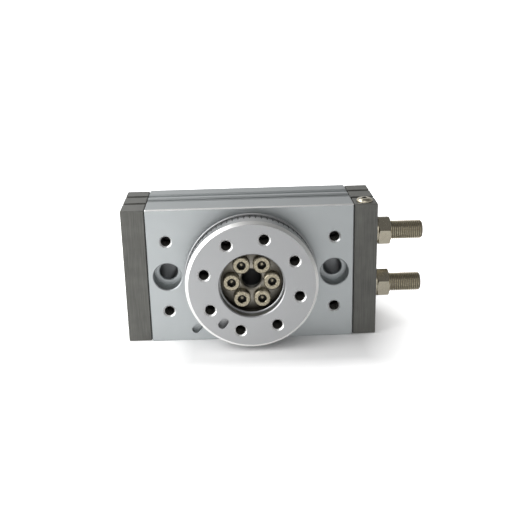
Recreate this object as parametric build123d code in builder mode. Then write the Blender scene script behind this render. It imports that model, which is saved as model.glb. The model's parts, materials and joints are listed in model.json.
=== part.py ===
from build123d import *
from math import acos, cos, pi, radians, sin, tan
import os

os.makedirs("parts", exist_ok=True)

# Pneumatic rotary actuator: two rack pistons turn a pinion shaft that carries a round table.
# It stands on a long side. The table faces -Y, the adjusting bolts point along +X, and Z is up.
# The origin is on the table axis at the rear mounting face.
# A "height" below is a distance in front of that rear face, so it runs along -Y.

# Gear drive
gear_module = 1.25
pinion_teeth = 14
pressure_angle = radians(20)
pinion_addendum = 1.25
rack_addendum = 1.0
tooth_root_clearance = 0.3125
flank_clearance = 0.05
gear_width = 16.0
chamber_clearance = 1.0
shoulder_thickness = 1.2
shoulder_width = 2.0
shoulder_clearance = 0.6
rear_shoulder_width = 1.1
swing = 190.0
table_turn = 7.5
flank_steps = 4

# Cylinder bores and the walls around them
bore_radius = 9.0
rack_pitch_offset = 5.75
rear_wall = 1.25
front_wall = 3.8
side_wall = 11.5

# Bearings and their retainers; a ball's radius and half the gap between the rings are shares of the
# space between journal and seat
front_journal_radius = 15.0
front_seat_radius = 21.0
front_bearing_width = 7.0
front_ball_share = 0.3
front_ball_count = 12
rear_journal_radius = 8.5
rear_seat_radius = 13.0
rear_bearing_width = 5.0
rear_ball_share = 0.289
rear_ball_count = 10
race_clearance = 0.05
front_gap_share = 1 / 6
rear_gap_share = 0.16
cage_clearance = 0.15
cage_overhang = 0.45
retainer_thickness = 1.7
retainer_land = 2.4
retainer_rim = 2.6
retainer_screw_count = 6
clip_thickness = 1.1
clip_groove_depth = 0.7
clip_ring_width = 1.5
clip_gap = 9.0
clip_eye_radius = 1.5
clip_eye_hole_radius = 0.75
clip_eye_angle = 25.0
clip_inset = 2.0
rear_recess_radius = 14.5
rear_recess_depth = 1.2

# Body block
body_length = 103.0
body_edge = 0.6
body_end_edge = 0.35
mount_end_distance = 9.5
mount_hole_radius = 4.3
mount_counterbore_radius = 7.0
mount_counterbore_depth = 8.5
mount_rear_edge = 0.9
tapped_spacing = 37.0
tapped_hole_radius = 2.5
tapped_hole_depth = 12.0
tapped_edge = 0.7
locator_circle_radius = 40.0
locator_angle = -135.0
locator_width = 4.0
locator_length = 6.0
locator_depth = 3.5

# Switch grooves along both long faces of the body
front_vee_height = 24.3
front_vee_width = 2.2
switch_slot_height = 20.5
switch_slot_width = 3.6
switch_slot_radius = 2.2
switch_slot_depth = 3.4
switch_slot_edge = 0.7
rear_slot_height = 12.4
rear_slot_width = 4.2
rear_slot_depth = 1.6
rear_slot_edge = 0.7

# End covers and gaskets
cover_thickness = 11.5
cover_step = 0.35
cover_edge = 0.5
cover_groove_width = 3.2
cover_groove_depth = 1.5
cover_groove_heights = (25.9, 12.0)
gasket_thickness = 0.5
gasket_step = 0.9
cover_screw_inset = 5.7
cover_screw_spacing = 42.0

# Air ports of the right cover
port_radius = 2.1
port_edge = 0.4
port_offset = 15.0
port_setback = 5.5
top_port_front_distance = 5.7
top_port_depth = 7.2
end_port_depth = 6.5
cross_drill_radius = 1.5
sealing_ball_depth = 1.95
feed_radius = 1.25
feed_offset = 7.5
plug_head_radius = 4.0
plug_head_height = 2.0
plug_head_round = 0.9
plug_length = 5.0
plug_socket = 2.5
plug_socket_depth = 1.4
plug_sink = 0.4

# Table
table_gap = 1.3
table_radius = 32.5
table_edge = 1.5
table_thickness = 15.7
flange_setback = 3.2
flange_radius = 33.2
flange_thickness = 1.4
flange_edge = 0.2
table_rear_radius = 32.0
recess_radius = 16.0
recess_depth = 5.0
recess_edge = 0.5
well_radius = 15.4
well_edge = 0.3
web_thickness = 4.8
spigot_depth = 0.7
boss_radius = 18.0
table_hole_circle_radius = 24.0
table_hole_count = 8
table_hole_phase = 22.5
table_hole_depth = 12.0
table_locator_circle_radius = 24.0
table_locator_depth = 4.5
hollow_radius = 5.0
hollow_edge = 0.7
table_screw_circle_radius = 10.0
table_screw_count = 6
table_screw_phase = -7.5
dowel_radius = 1.5
dowel_length = 5.0
dowel_phase = 30.0

# Cap screws: M5 for the covers and the table, M2.5 countersunk for the bearing retainer
cap_head_radius = 4.25
cap_head_height = 5.0
cap_shank_radius = 2.5
cap_length = 12.0
cap_socket = 4.0
cap_socket_depth = 2.5
cap_head_edge = 0.4
cap_hole_radius = 2.75
counterbore_radius = 4.6
counterbore_depth = 5.2
drill_overrun = 1.0
sink_head_radius = 2.35
sink_shank_radius = 1.25
sink_length = 7.0
sink_socket = 1.5
sink_socket_depth = 0.9

# Rack pistons
piston_clearance = 0.08
seal_clearance = 0.03
end_clearance = 0.5
round_end_length = 12.5
piston_edge = 0.5
seal_inset = 1.3
seal_width = 2.2
seal_groove_depth = 2.2
magnet_inset = 4.7
magnet_width = 2.5
magnet_groove_depth = 2.0
magnet_clearance = 0.2
wear_ring_inset = 8.4
wear_ring_width = 3.0
wear_ring_groove_depth = 1.0

# Adjusting bolts, cushion pads, seal washers and lock nuts
bolt_radius = 5.0
bolt_projection = 26.7
bolt_edge = 0.9
bolt_socket = 5.0
bolt_socket_depth = 6.0
pad_radius = 3.5
pad_proud = 0.8
pad_seat_depth = 3.2
stop_gap = 0.3
seal_washer_radius = 7.6
seal_washer_thickness = 2.5
seal_washer_edge = 0.4
ring_section_radius = 0.74
ring_pocket_depth = 1.5
nut_face_radius = 6.6
nut_face_thickness = 0.8
nut_across_flats = 14.0
nut_thickness = 6.4
nut_chamfer = 0.9
hexagon_sides = 6
nut_angles = {"upper": 166.4, "lower": 158.2}

# Fits
press_clearance = 0.02
thread_clearance = 0.03
running_clearance = 0.05

# Gear sizes that follow
pitch_radius = gear_module * pinion_teeth / 2
pitch = pi * gear_module
base_radius = pitch_radius * cos(pressure_angle)
pinion_tip_radius = pitch_radius + pinion_addendum
pinion_root_radius = pitch_radius - rack_addendum - tooth_root_clearance
rack_dedendum = pinion_addendum + tooth_root_clearance
bore_offset = pitch_radius + rack_pitch_offset
rack_travel = radians(swing / 2) * pitch_radius
rack_shift = radians(table_turn) * pitch_radius
body_width = 2 * (bore_offset + bore_radius + side_wall)
mount_spacing = body_length - 2 * mount_end_distance

# Heights that follow, from the rear face to the front of the table
clip_front = clip_inset + clip_thickness + 2 * race_clearance
rear_seat_floor = clip_front + race_clearance + rear_bearing_width
bore_height = rear_seat_floor + rear_wall + bore_radius
front_seat_floor = bore_height + bore_radius + front_wall
retainer_floor = front_seat_floor + front_bearing_width
retainer_screw_circle_radius = front_seat_radius + retainer_land
retainer_radius = retainer_screw_circle_radius + retainer_rim
body_depth = retainer_floor + retainer_thickness
gear_rear = bore_height - gear_width / 2
shoulder_radius = front_journal_radius + shoulder_width
shoulder_rear = front_seat_floor - shoulder_thickness
rear_shoulder_radius = rear_journal_radius + rear_shoulder_width
rear_shoulder_front = rear_seat_floor + rear_wall
table_rear = body_depth + table_gap
flange_rear = table_rear + flange_setback
flange_front = flange_rear + flange_thickness
table_front = table_rear + table_thickness
web_rear = table_rear + spigot_depth
web_front = web_rear + web_thickness
recess_floor = table_front - recess_depth

# Angles that follow from how far the table is turned
table_hole_start = table_hole_phase + table_turn
table_screw_start = table_screw_phase + table_turn
table_locator_angle = locator_angle + table_turn
dowel_angle = table_screw_start + dowel_phase

# Places along X that follow
body_end = body_length / 2
gasket_end = body_end + gasket_thickness
cover_end = gasket_end + cover_thickness
piston_radius = bore_radius - piston_clearance
piston_half = gasket_end - rack_travel - end_clearance
pad_face = piston_half + rack_travel + stop_gap
bolt_inner = pad_face + pad_proud
bolt_end = cover_end + bolt_projection
nut_seat = cover_end + seal_washer_thickness
port_x = gasket_end + port_setback
cover_half = body_width / 2 - cover_step
cover_screw_reach = cap_length - (cover_thickness - counterbore_depth) - gasket_thickness
top_port_height = body_depth - top_port_front_distance
port_z = bore_offset + port_offset

# Planes: one to turn pieces about the table axis, and one on each face that is drilled
turning_plane = Plane(origin=(0, 0, 0), x_dir=(1, 0, 0), z_dir=(0, 0, -1))
front_plane = Plane.XZ.offset(body_depth)
rear_plane = Plane(origin=(0, 0, 0), x_dir=(1, 0, 0), z_dir=(0, 1, 0))
table_plane = Plane.XZ.offset(table_front)
table_axis = Axis((0, 0, 0), (0, 1, 0))

bore_centres = [(-bore_height, bore_offset), (-bore_height, -bore_offset)]
cover_screw_centres = [
    (-height, side * cover_screw_spacing / 2)
    for height in (cover_screw_inset, body_depth - cover_screw_inset)
    for side in (1, -1)
]
sides = {"upper": 1, "lower": -1}
ends = {"left": -1, "right": 1}


def polar(radius, degrees):
    """A point on a circle, in the two coordinates of a sketch."""
    return (radius * cos(radians(degrees)), radius * sin(radians(degrees)))


def groove_points(height, width, depth, edge, side, surface):
    """The outline of a straight groove in a long face, chamfered at both edges."""
    low = height - width / 2
    high = height + width / 2
    return [
        (-high - edge, side * surface),
        (-high, side * (surface - edge)),
        (-high, side * (surface - depth)),
        (-low, side * (surface - depth)),
        (-low, side * (surface - edge)),
        (-low + edge, side * surface),
    ]


def involute_half_angle(radius):
    """Half the angle that a pinion tooth takes up at a radius, less the flank clearance."""
    slope = acos(min(1.0, base_radius / radius))
    pitch_half = pi / (2 * pinion_teeth) - flank_clearance / pitch_radius
    return pitch_half + (tan(pressure_angle) - pressure_angle) - (tan(slope) - slope)


def write_part(builder, name):
    """Label a finished piece and write it to its own file."""
    builder.part.label = name
    export_step(builder.part, f"parts/{name}.step")


# Body block: an extrusion, drilled for the mechanism and for the mounting screws
with BuildPart() as body_block:
    with BuildSketch(Plane.YZ.offset(-body_end)) as body_section:
        with Locations((-body_depth / 2, 0)):
            Rectangle(body_depth, body_width)
        chamfer(body_section.vertices(), body_edge)
    extrude(amount=body_length)
    chamfer(body_block.faces().filter_by(Axis.X).edges(), body_end_edge)

    # Grooves for the position switches, the same on both long faces
    with BuildSketch(Plane.YZ.offset(-body_end)):
        for side in sides.values():
            surface = body_width / 2
            with BuildLine():
                Polyline(
                    (-front_vee_height - front_vee_width / 2, side * surface),
                    (-front_vee_height, side * (surface - front_vee_width / 2)),
                    (-front_vee_height + front_vee_width / 2, side * surface),
                    close=True,
                )
            make_face()
            with BuildLine():
                Polyline(
                    *groove_points(
                        switch_slot_height, switch_slot_width, switch_slot_depth,
                        switch_slot_edge, side, surface,
                    ),
                    close=True,
                )
            make_face()
            with Locations((-switch_slot_height, side * (surface - switch_slot_depth))):
                Circle(switch_slot_radius)
            with BuildLine():
                Polyline(
                    *groove_points(
                        rear_slot_height, rear_slot_width, rear_slot_depth, rear_slot_edge, side, surface
                    ),
                    close=True,
                )
            make_face()
    extrude(amount=body_length, mode=Mode.SUBTRACT)

    # The two cylinder bores run right through
    with BuildSketch(Plane.YZ.offset(-body_end)):
        with Locations(*bore_centres):
            Circle(bore_radius)
    extrude(amount=body_length, mode=Mode.SUBTRACT)

    # Bearing seats and pinion chamber, turned about the table axis
    with BuildSketch(turning_plane):
        with BuildLine():
            Polyline(
                (0, 0),
                (rear_recess_radius, 0),
                (rear_recess_radius, rear_recess_depth),
                (rear_seat_radius, rear_recess_depth),
                (rear_seat_radius, clip_inset),
                (rear_seat_radius + clip_groove_depth, clip_inset),
                (rear_seat_radius + clip_groove_depth, clip_front),
                (rear_seat_radius, clip_front),
                (rear_seat_radius, rear_seat_floor),
                (rear_shoulder_radius + shoulder_clearance, rear_seat_floor),
                (rear_shoulder_radius + shoulder_clearance, gear_rear - chamber_clearance),
                (pinion_tip_radius + chamber_clearance, gear_rear - chamber_clearance),
                (pinion_tip_radius + chamber_clearance, shoulder_rear - stop_gap),
                (shoulder_radius + shoulder_clearance, shoulder_rear - stop_gap),
                (shoulder_radius + shoulder_clearance, front_seat_floor),
                (front_seat_radius, front_seat_floor),
                (front_seat_radius, retainer_floor),
                (retainer_radius + running_clearance, retainer_floor),
                (retainer_radius + running_clearance, body_depth),
                (0, body_depth),
                close=True,
            )
        make_face()
    revolve(axis=table_axis, mode=Mode.SUBTRACT)

    # Counterbored mounting holes from the front, each with a broken edge at both mouths
    with Locations(front_plane.location):
        with GridLocations(mount_spacing, tapped_spacing, 2, 1):
            CounterBoreHole(mount_hole_radius, mount_counterbore_radius, mount_counterbore_depth)
            CounterSinkHole(
                mount_hole_radius, mount_counterbore_radius + body_end_edge, body_depth, counter_sink_angle=90
            )
    with Locations(rear_plane.location):
        with GridLocations(mount_spacing, tapped_spacing, 2, 1):
            CounterSinkHole(
                mount_hole_radius, mount_hole_radius + mount_rear_edge, body_depth, counter_sink_angle=90
            )

    # Four tapped holes in the front face
    with Locations(front_plane.location):
        with GridLocations(mount_spacing, tapped_spacing, 2, 2):
            CounterSinkHole(
                tapped_hole_radius, tapped_hole_radius + tapped_edge, tapped_hole_depth, counter_sink_angle=90
            )

    # Pin slot, radial to the table axis
    with BuildSketch(front_plane):
        with Locations(polar(locator_circle_radius, locator_angle)):
            SlotOverall(locator_length, locator_width, rotation=locator_angle)
    extrude(amount=-locator_depth, mode=Mode.SUBTRACT)

    # Screw holes for the bearing retainer and for both covers
    with Locations(front_plane.offset(-retainer_thickness).location):
        with PolarLocations(retainer_screw_circle_radius, retainer_screw_count):
            Hole(sink_shank_radius + thread_clearance, sink_length)
    for sign in ends.values():
        end_plane = Plane(origin=(sign * body_end, 0, 0), x_dir=(0, 1, 0), z_dir=(sign, 0, 0))
        with Locations(end_plane.location):
            with Locations(*cover_screw_centres):
                Hole(cap_shank_radius + thread_clearance, cover_screw_reach + drill_overrun)
write_part(body_block, "body_block")

# Gaskets between body and covers
for name, sign in ends.items():
    with BuildPart() as gasket:
        with BuildSketch(Plane.YZ.offset(sign * body_end)):
            with Locations((-body_depth / 2, 0)):
                Rectangle(body_depth - 2 * gasket_step, body_width - 2 * gasket_step)
            with Locations(*bore_centres):
                Circle(bore_radius + press_clearance, mode=Mode.SUBTRACT)
            with Locations(*cover_screw_centres):
                Circle(cap_hole_radius, mode=Mode.SUBTRACT)
        extrude(amount=sign * gasket_thickness)
    write_part(gasket, f"{name}_gasket")

# End covers: a plain one on the left, and on the right the one with bolts and ports
for name, sign in ends.items():
    inner_plane = Plane.YZ.offset(sign * gasket_end)
    outer_plane = Plane(origin=(sign * cover_end, 0, 0), x_dir=(0, 1, 0), z_dir=(sign, 0, 0))
    with BuildPart() as cover:
        with BuildSketch(inner_plane):
            with Locations((-body_depth / 2, 0)):
                Rectangle(body_depth - 2 * cover_step, 2 * cover_half)
        extrude(amount=sign * cover_thickness)
        chamfer(cover.edges().filter_by(Axis.X), cover_edge)
        chamfer(cover.faces().filter_by(Axis.X).edges(), cover_edge / 2)

        with BuildSketch(inner_plane):
            for side in sides.values():
                for height in cover_groove_heights:
                    with Locations((-height, side * cover_half)):
                        Rectangle(cover_groove_width, 2 * cover_groove_depth)
        extrude(amount=sign * cover_thickness, mode=Mode.SUBTRACT)

        with Locations(outer_plane.location):
            with Locations(*cover_screw_centres):
                CounterBoreHole(cap_hole_radius, counterbore_radius, counterbore_depth)

        if name == "right":
            with Locations(outer_plane.location):
                with Locations(*bore_centres):
                    Hole(bolt_radius + running_clearance)
                with Locations((-bore_height, port_z), (-bore_height, -port_z)):
                    CounterSinkHole(
                        port_radius, port_radius + port_edge, end_port_depth, counter_sink_angle=90
                    )
            for side in sides.values():
                side_plane = Plane(origin=(0, 0, side * cover_half), x_dir=(1, 0, 0), z_dir=(0, 0, side))
                with Locations(side_plane.location):
                    with Locations((port_x, -side * top_port_height)):
                        CounterSinkHole(
                            port_radius, port_radius + port_edge, top_port_depth, counter_sink_angle=90
                        )
                cross_plane = Plane(
                    origin=(port_x, -cover_step, side * port_z), x_dir=(1, 0, 0), z_dir=(0, 1, 0)
                )
                with Locations(cross_plane.location):
                    Hole(cross_drill_radius, top_port_height - cover_step)
                feed_start = Vector(port_x, -bore_height, side * port_z)
                feed_end = Vector(gasket_end - feed_radius, -bore_height, side * (bore_offset + feed_offset))
                feed_plane = Plane(origin=feed_start, z_dir=feed_end - feed_start)
                with BuildSketch(feed_plane):
                    Circle(feed_radius)
                extrude(amount=(feed_end - feed_start).length, mode=Mode.SUBTRACT)
    write_part(cover, f"{name}_cover")

# Cap screws of both covers
for name, sign in ends.items():
    seat = cover_end - counterbore_depth
    seat_plane = Plane(origin=(sign * seat, 0, 0), x_dir=(0, 1, 0), z_dir=(sign, 0, 0))
    with BuildPart() as cover_screws:
        with BuildSketch(seat_plane):
            with Locations(*cover_screw_centres):
                Circle(cap_head_radius)
        extrude(amount=cap_head_height)
        outward = Axis((0, 0, 0), (sign, 0, 0))
        head_faces = cover_screws.faces().filter_by(outward).sort_by(outward)[-len(cover_screw_centres):]
        chamfer(head_faces.edges(), cap_head_edge)
        with BuildSketch(seat_plane):
            with Locations(*cover_screw_centres):
                Circle(cap_shank_radius)
        extrude(amount=-cap_length)
        with BuildSketch(seat_plane.offset(cap_head_height)):
            with Locations(*cover_screw_centres):
                RegularPolygon(cap_socket / 2, hexagon_sides, major_radius=False)
        extrude(amount=-cap_socket_depth, mode=Mode.SUBTRACT)
    write_part(cover_screws, f"{name}_cover_screws")

# Port plugs: a button head on top, where it shows, and a sunk one below, which the object stands on
with BuildPart() as top_port_plug:
    head_plane = Plane.XY.offset(cover_half)
    with BuildSketch(head_plane):
        with Locations((port_x, -top_port_height)):
            Circle(plug_head_radius)
    extrude(amount=plug_head_height)
    fillet(top_port_plug.faces().sort_by(Axis.Z)[-1].edges(), plug_head_round)
    with BuildSketch(head_plane):
        with Locations((port_x, -top_port_height)):
            Circle(port_radius - thread_clearance)
    extrude(amount=-plug_length)
    with BuildSketch(head_plane.offset(plug_head_height)):
        with Locations((port_x, -top_port_height)):
            RegularPolygon(plug_socket / 2, hexagon_sides, major_radius=False)
    extrude(amount=-plug_socket_depth, mode=Mode.SUBTRACT)
write_part(top_port_plug, "top_port_plug")

with BuildPart() as bottom_port_plug:
    sunk_plane = Plane.XY.offset(plug_sink - cover_half)
    with BuildSketch(sunk_plane):
        with Locations((port_x, -top_port_height)):
            Circle(port_radius - thread_clearance)
    extrude(amount=plug_length)
    with BuildSketch(sunk_plane):
        with Locations((port_x, -top_port_height)):
            RegularPolygon(plug_socket / 2, hexagon_sides, major_radius=False)
    extrude(amount=plug_socket_depth, mode=Mode.SUBTRACT)
write_part(bottom_port_plug, "bottom_port_plug")

with BuildPart() as port_sealing_balls:
    with Locations(*[(port_x, -cover_step - sealing_ball_depth, side * port_z) for side in sides.values()]):
        Sphere(cross_drill_radius - press_clearance)
write_part(port_sealing_balls, "port_sealing_balls")

# Bearing retainer: a flat ring let into the front of the body
with BuildPart() as bearing_retainer:
    with BuildSketch(Plane.XZ.offset(retainer_floor)):
        Circle(retainer_radius)
        Circle(boss_radius + retainer_thickness, mode=Mode.SUBTRACT)
    extrude(amount=retainer_thickness)
    with Locations(front_plane.location):
        with PolarLocations(retainer_screw_circle_radius, retainer_screw_count):
            CounterSinkHole(
                sink_shank_radius + running_clearance,
                sink_head_radius + running_clearance,
                retainer_thickness,
                counter_sink_angle=90,
            )
write_part(bearing_retainer, "bearing_retainer")

with BuildPart() as retainer_screws:
    head_height = sink_head_radius - sink_shank_radius
    with Locations(front_plane.offset(-running_clearance).location):
        with PolarLocations(retainer_screw_circle_radius, retainer_screw_count):
            Cone(
                sink_shank_radius, sink_head_radius, head_height,
                align=(Align.CENTER, Align.CENTER, Align.MAX),
            )
            Cylinder(sink_shank_radius, sink_length, align=(Align.CENTER, Align.CENTER, Align.MAX))
    with BuildSketch(front_plane.offset(-running_clearance)):
        with PolarLocations(retainer_screw_circle_radius, retainer_screw_count):
            RegularPolygon(sink_socket / 2, hexagon_sides, major_radius=False)
    extrude(amount=-sink_socket_depth, mode=Mode.SUBTRACT)
write_part(retainer_screws, "retainer_screws")

# Ball bearings: two rings with ball tracks, a cage and its balls
bearings = {
    "front": (
        front_journal_radius, front_seat_radius, front_seat_floor, front_bearing_width,
        front_ball_share, front_ball_count, front_gap_share,
    ),
    "rear": (
        rear_journal_radius, rear_seat_radius, rear_seat_floor - rear_bearing_width, rear_bearing_width,
        rear_ball_share, rear_ball_count, rear_gap_share,
    ),
}
for name, (inner_radius, outer_radius, height, width, ball_share, ball_count, gap_share) in bearings.items():
    section = outer_radius - inner_radius
    ball_radius = ball_share * section
    race_gap = gap_share * section
    track_radius = (inner_radius + outer_radius) / 2
    middle = height + width / 2
    for ring, radii in {
        "inner": (inner_radius + press_clearance, track_radius - race_gap),
        "outer": (track_radius + race_gap, outer_radius - press_clearance),
    }.items():
        with BuildPart() as bearing_ring:
            with BuildSketch(turning_plane):
                with Locations(((radii[0] + radii[1]) / 2, middle)):
                    Rectangle(radii[1] - radii[0], width)
                with Locations((track_radius, middle)):
                    Circle(ball_radius + race_clearance, mode=Mode.SUBTRACT)
            revolve(axis=table_axis)
        write_part(bearing_ring, f"{name}_bearing_{ring}_ring")

    middle_plane = Plane.XZ.offset(middle)
    with BuildPart() as bearing_balls:
        with Locations(middle_plane.location):
            with PolarLocations(track_radius, ball_count):
                Sphere(ball_radius)
    write_part(bearing_balls, f"{name}_bearing_balls")

    cage_half = race_gap - 2 * cage_clearance
    with BuildPart() as bearing_cage:
        with BuildSketch(turning_plane):
            with Locations((track_radius, middle)):
                Rectangle(2 * cage_half, 2 * (ball_radius + cage_overhang))
        revolve(axis=table_axis)
        with Locations(middle_plane.location):
            with PolarLocations(track_radius, ball_count):
                Cylinder(
                    ball_radius + cage_clearance, 2 * (cage_half + drill_overrun),
                    rotation=(0, 90, 0), mode=Mode.SUBTRACT,
                )
    write_part(bearing_cage, f"{name}_bearing_cage")

# Retaining ring behind the rear bearing, open at the bottom, with an eye at each end
with BuildPart() as rear_retaining_ring:
    clip_outer = rear_seat_radius + clip_groove_depth - running_clearance
    clip_inner = rear_seat_radius - clip_ring_width
    eye_circle = rear_seat_radius - clip_eye_radius - running_clearance
    with BuildSketch(Plane.XZ.offset(clip_inset + race_clearance)):
        Circle(clip_outer)
        Circle(clip_inner, mode=Mode.SUBTRACT)
        with Locations((0, -clip_outer)):
            Rectangle(clip_gap, clip_outer, mode=Mode.SUBTRACT)
        with Locations(*[polar(eye_circle, side * clip_eye_angle - 90) for side in (1, -1)]):
            Circle(clip_eye_radius)
            Circle(clip_eye_hole_radius, mode=Mode.SUBTRACT)
    extrude(amount=clip_thickness)
write_part(rear_retaining_ring, "rear_retaining_ring")

# Rotary table: front disc, graduated side, thin rear flange and a boss that bears on the front bearing
with BuildPart() as rotary_table:
    with BuildSketch(turning_plane):
        with BuildLine():
            Polyline(
                (hollow_radius, web_rear),
                (hollow_radius, web_front - hollow_edge),
                (hollow_radius + hollow_edge, web_front),
                (well_radius, web_front),
                (well_radius, recess_floor - well_edge),
                (well_radius + well_edge, recess_floor),
                (recess_radius, recess_floor),
                (recess_radius, table_front - recess_edge),
                (recess_radius + recess_edge, table_front),
                (table_radius - table_edge, table_front),
                (table_radius, table_front - table_edge),
                (table_radius, flange_front),
                (flange_radius - flange_edge, flange_front),
                (flange_radius, flange_front - flange_edge),
                (flange_radius, flange_rear),
                (table_rear_radius, flange_rear),
                (table_rear_radius, table_rear + flange_edge),
                (table_rear_radius - flange_edge, table_rear),
                (boss_radius, table_rear),
                (boss_radius, retainer_floor),
                (front_journal_radius + press_clearance, retainer_floor),
                (front_journal_radius + press_clearance, web_rear),
                close=True,
            )
        make_face()
    revolve(axis=table_axis)

    with Locations(table_plane.location):
        with PolarLocations(table_hole_circle_radius, table_hole_count, start_angle=table_hole_start):
            CounterSinkHole(
                tapped_hole_radius, tapped_hole_radius + tapped_edge, table_hole_depth, counter_sink_angle=90
            )
    with BuildSketch(table_plane):
        with Locations(polar(table_locator_circle_radius, table_locator_angle)):
            SlotOverall(locator_length, locator_width, rotation=table_locator_angle)
    extrude(amount=-table_locator_depth, mode=Mode.SUBTRACT)

    with Locations(Plane.XZ.offset(web_front).location):
        with PolarLocations(table_screw_circle_radius, table_screw_count, start_angle=table_screw_start):
            Hole(cap_hole_radius, web_thickness)
    with BuildSketch(Plane.XZ.offset(web_rear)):
        with Locations(polar(table_screw_circle_radius, dowel_angle)):
            Circle(dowel_radius + press_clearance)
    extrude(amount=dowel_length / 2, mode=Mode.SUBTRACT)
write_part(rotary_table, "rotary_table")

with BuildPart() as table_screws:
    screw_places = PolarLocations(
        table_screw_circle_radius, table_screw_count, start_angle=table_screw_start
    )
    web_plane = Plane.XZ.offset(web_front)
    with BuildSketch(web_plane):
        with screw_places:
            Circle(cap_head_radius)
    extrude(amount=cap_head_height)
    head_faces = table_screws.faces().filter_by(Axis.Y).sort_by(Axis.Y)[:table_screw_count]
    chamfer(head_faces.edges(), cap_head_edge)
    with BuildSketch(web_plane):
        with screw_places:
            Circle(cap_shank_radius)
    extrude(amount=-cap_length)
    with BuildSketch(web_plane.offset(cap_head_height)):
        with screw_places:
            RegularPolygon(cap_socket / 2, hexagon_sides, major_radius=False)
    extrude(amount=-cap_socket_depth, mode=Mode.SUBTRACT)
write_part(table_screws, "table_screws")

with BuildPart() as table_dowel_pin:
    with BuildSketch(Plane.XZ.offset(web_rear - dowel_length / 2)):
        with Locations(polar(table_screw_circle_radius, dowel_angle)):
            Circle(dowel_radius)
    extrude(amount=dowel_length)
write_part(table_dowel_pin, "table_dowel_pin")

# Pinion shaft: turned blank, then fourteen involute teeth between the two journals
with BuildPart() as pinion_shaft:
    with BuildSketch(turning_plane):
        with BuildLine():
            Polyline(
                (hollow_radius, clip_front + race_clearance),
                (rear_journal_radius, clip_front + race_clearance),
                (rear_journal_radius, rear_seat_floor),
                (rear_shoulder_radius, rear_seat_floor),
                (rear_shoulder_radius, rear_shoulder_front),
                (pinion_root_radius, rear_shoulder_front),
                (pinion_root_radius, shoulder_rear),
                (shoulder_radius, shoulder_rear),
                (shoulder_radius, front_seat_floor),
                (front_journal_radius, front_seat_floor),
                (front_journal_radius, web_rear),
                (hollow_radius, web_rear),
                close=True,
            )
        make_face()
    revolve(axis=table_axis)

    flank_radii = [
        base_radius + (pinion_tip_radius - base_radius) * step / flank_steps
        for step in range(flank_steps + 1)
    ]
    flank = [(radius, involute_half_angle(radius)) for radius in flank_radii]
    right_flank = [(radius * cos(angle), -radius * sin(angle)) for radius, angle in flank]
    left_flank = [(radius * cos(angle), radius * sin(angle)) for radius, angle in reversed(flank)]
    tooth_foot = pinion_root_radius - press_clearance
    foot_angle = involute_half_angle(base_radius)
    with BuildSketch(mode=Mode.PRIVATE) as tooth:
        with BuildLine():
            Spline(*right_flank)
            ThreePointArc(right_flank[-1], (pinion_tip_radius, 0), left_flank[0])
            Spline(*left_flank)
            Polyline(
                left_flank[-1],
                (tooth_foot * cos(foot_angle), tooth_foot * sin(foot_angle)),
                (tooth_foot * cos(foot_angle), -tooth_foot * sin(foot_angle)),
                right_flank[0],
            )
        make_face()
    with BuildSketch(Plane.XZ.offset(gear_rear)):
        with PolarLocations(0, pinion_teeth, start_angle=90 + table_turn):
            add(tooth.sketch)
    extrude(amount=gear_width)

    with Locations(Plane.XZ.offset(web_rear).location):
        with PolarLocations(table_screw_circle_radius, table_screw_count, start_angle=table_screw_start):
            Hole(cap_shank_radius + thread_clearance, cap_length - web_thickness + drill_overrun)
        with Locations(polar(table_screw_circle_radius, dowel_angle)):
            Hole(dowel_radius + press_clearance, dowel_length / 2)
write_part(pinion_shaft, "pinion_shaft")

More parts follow.
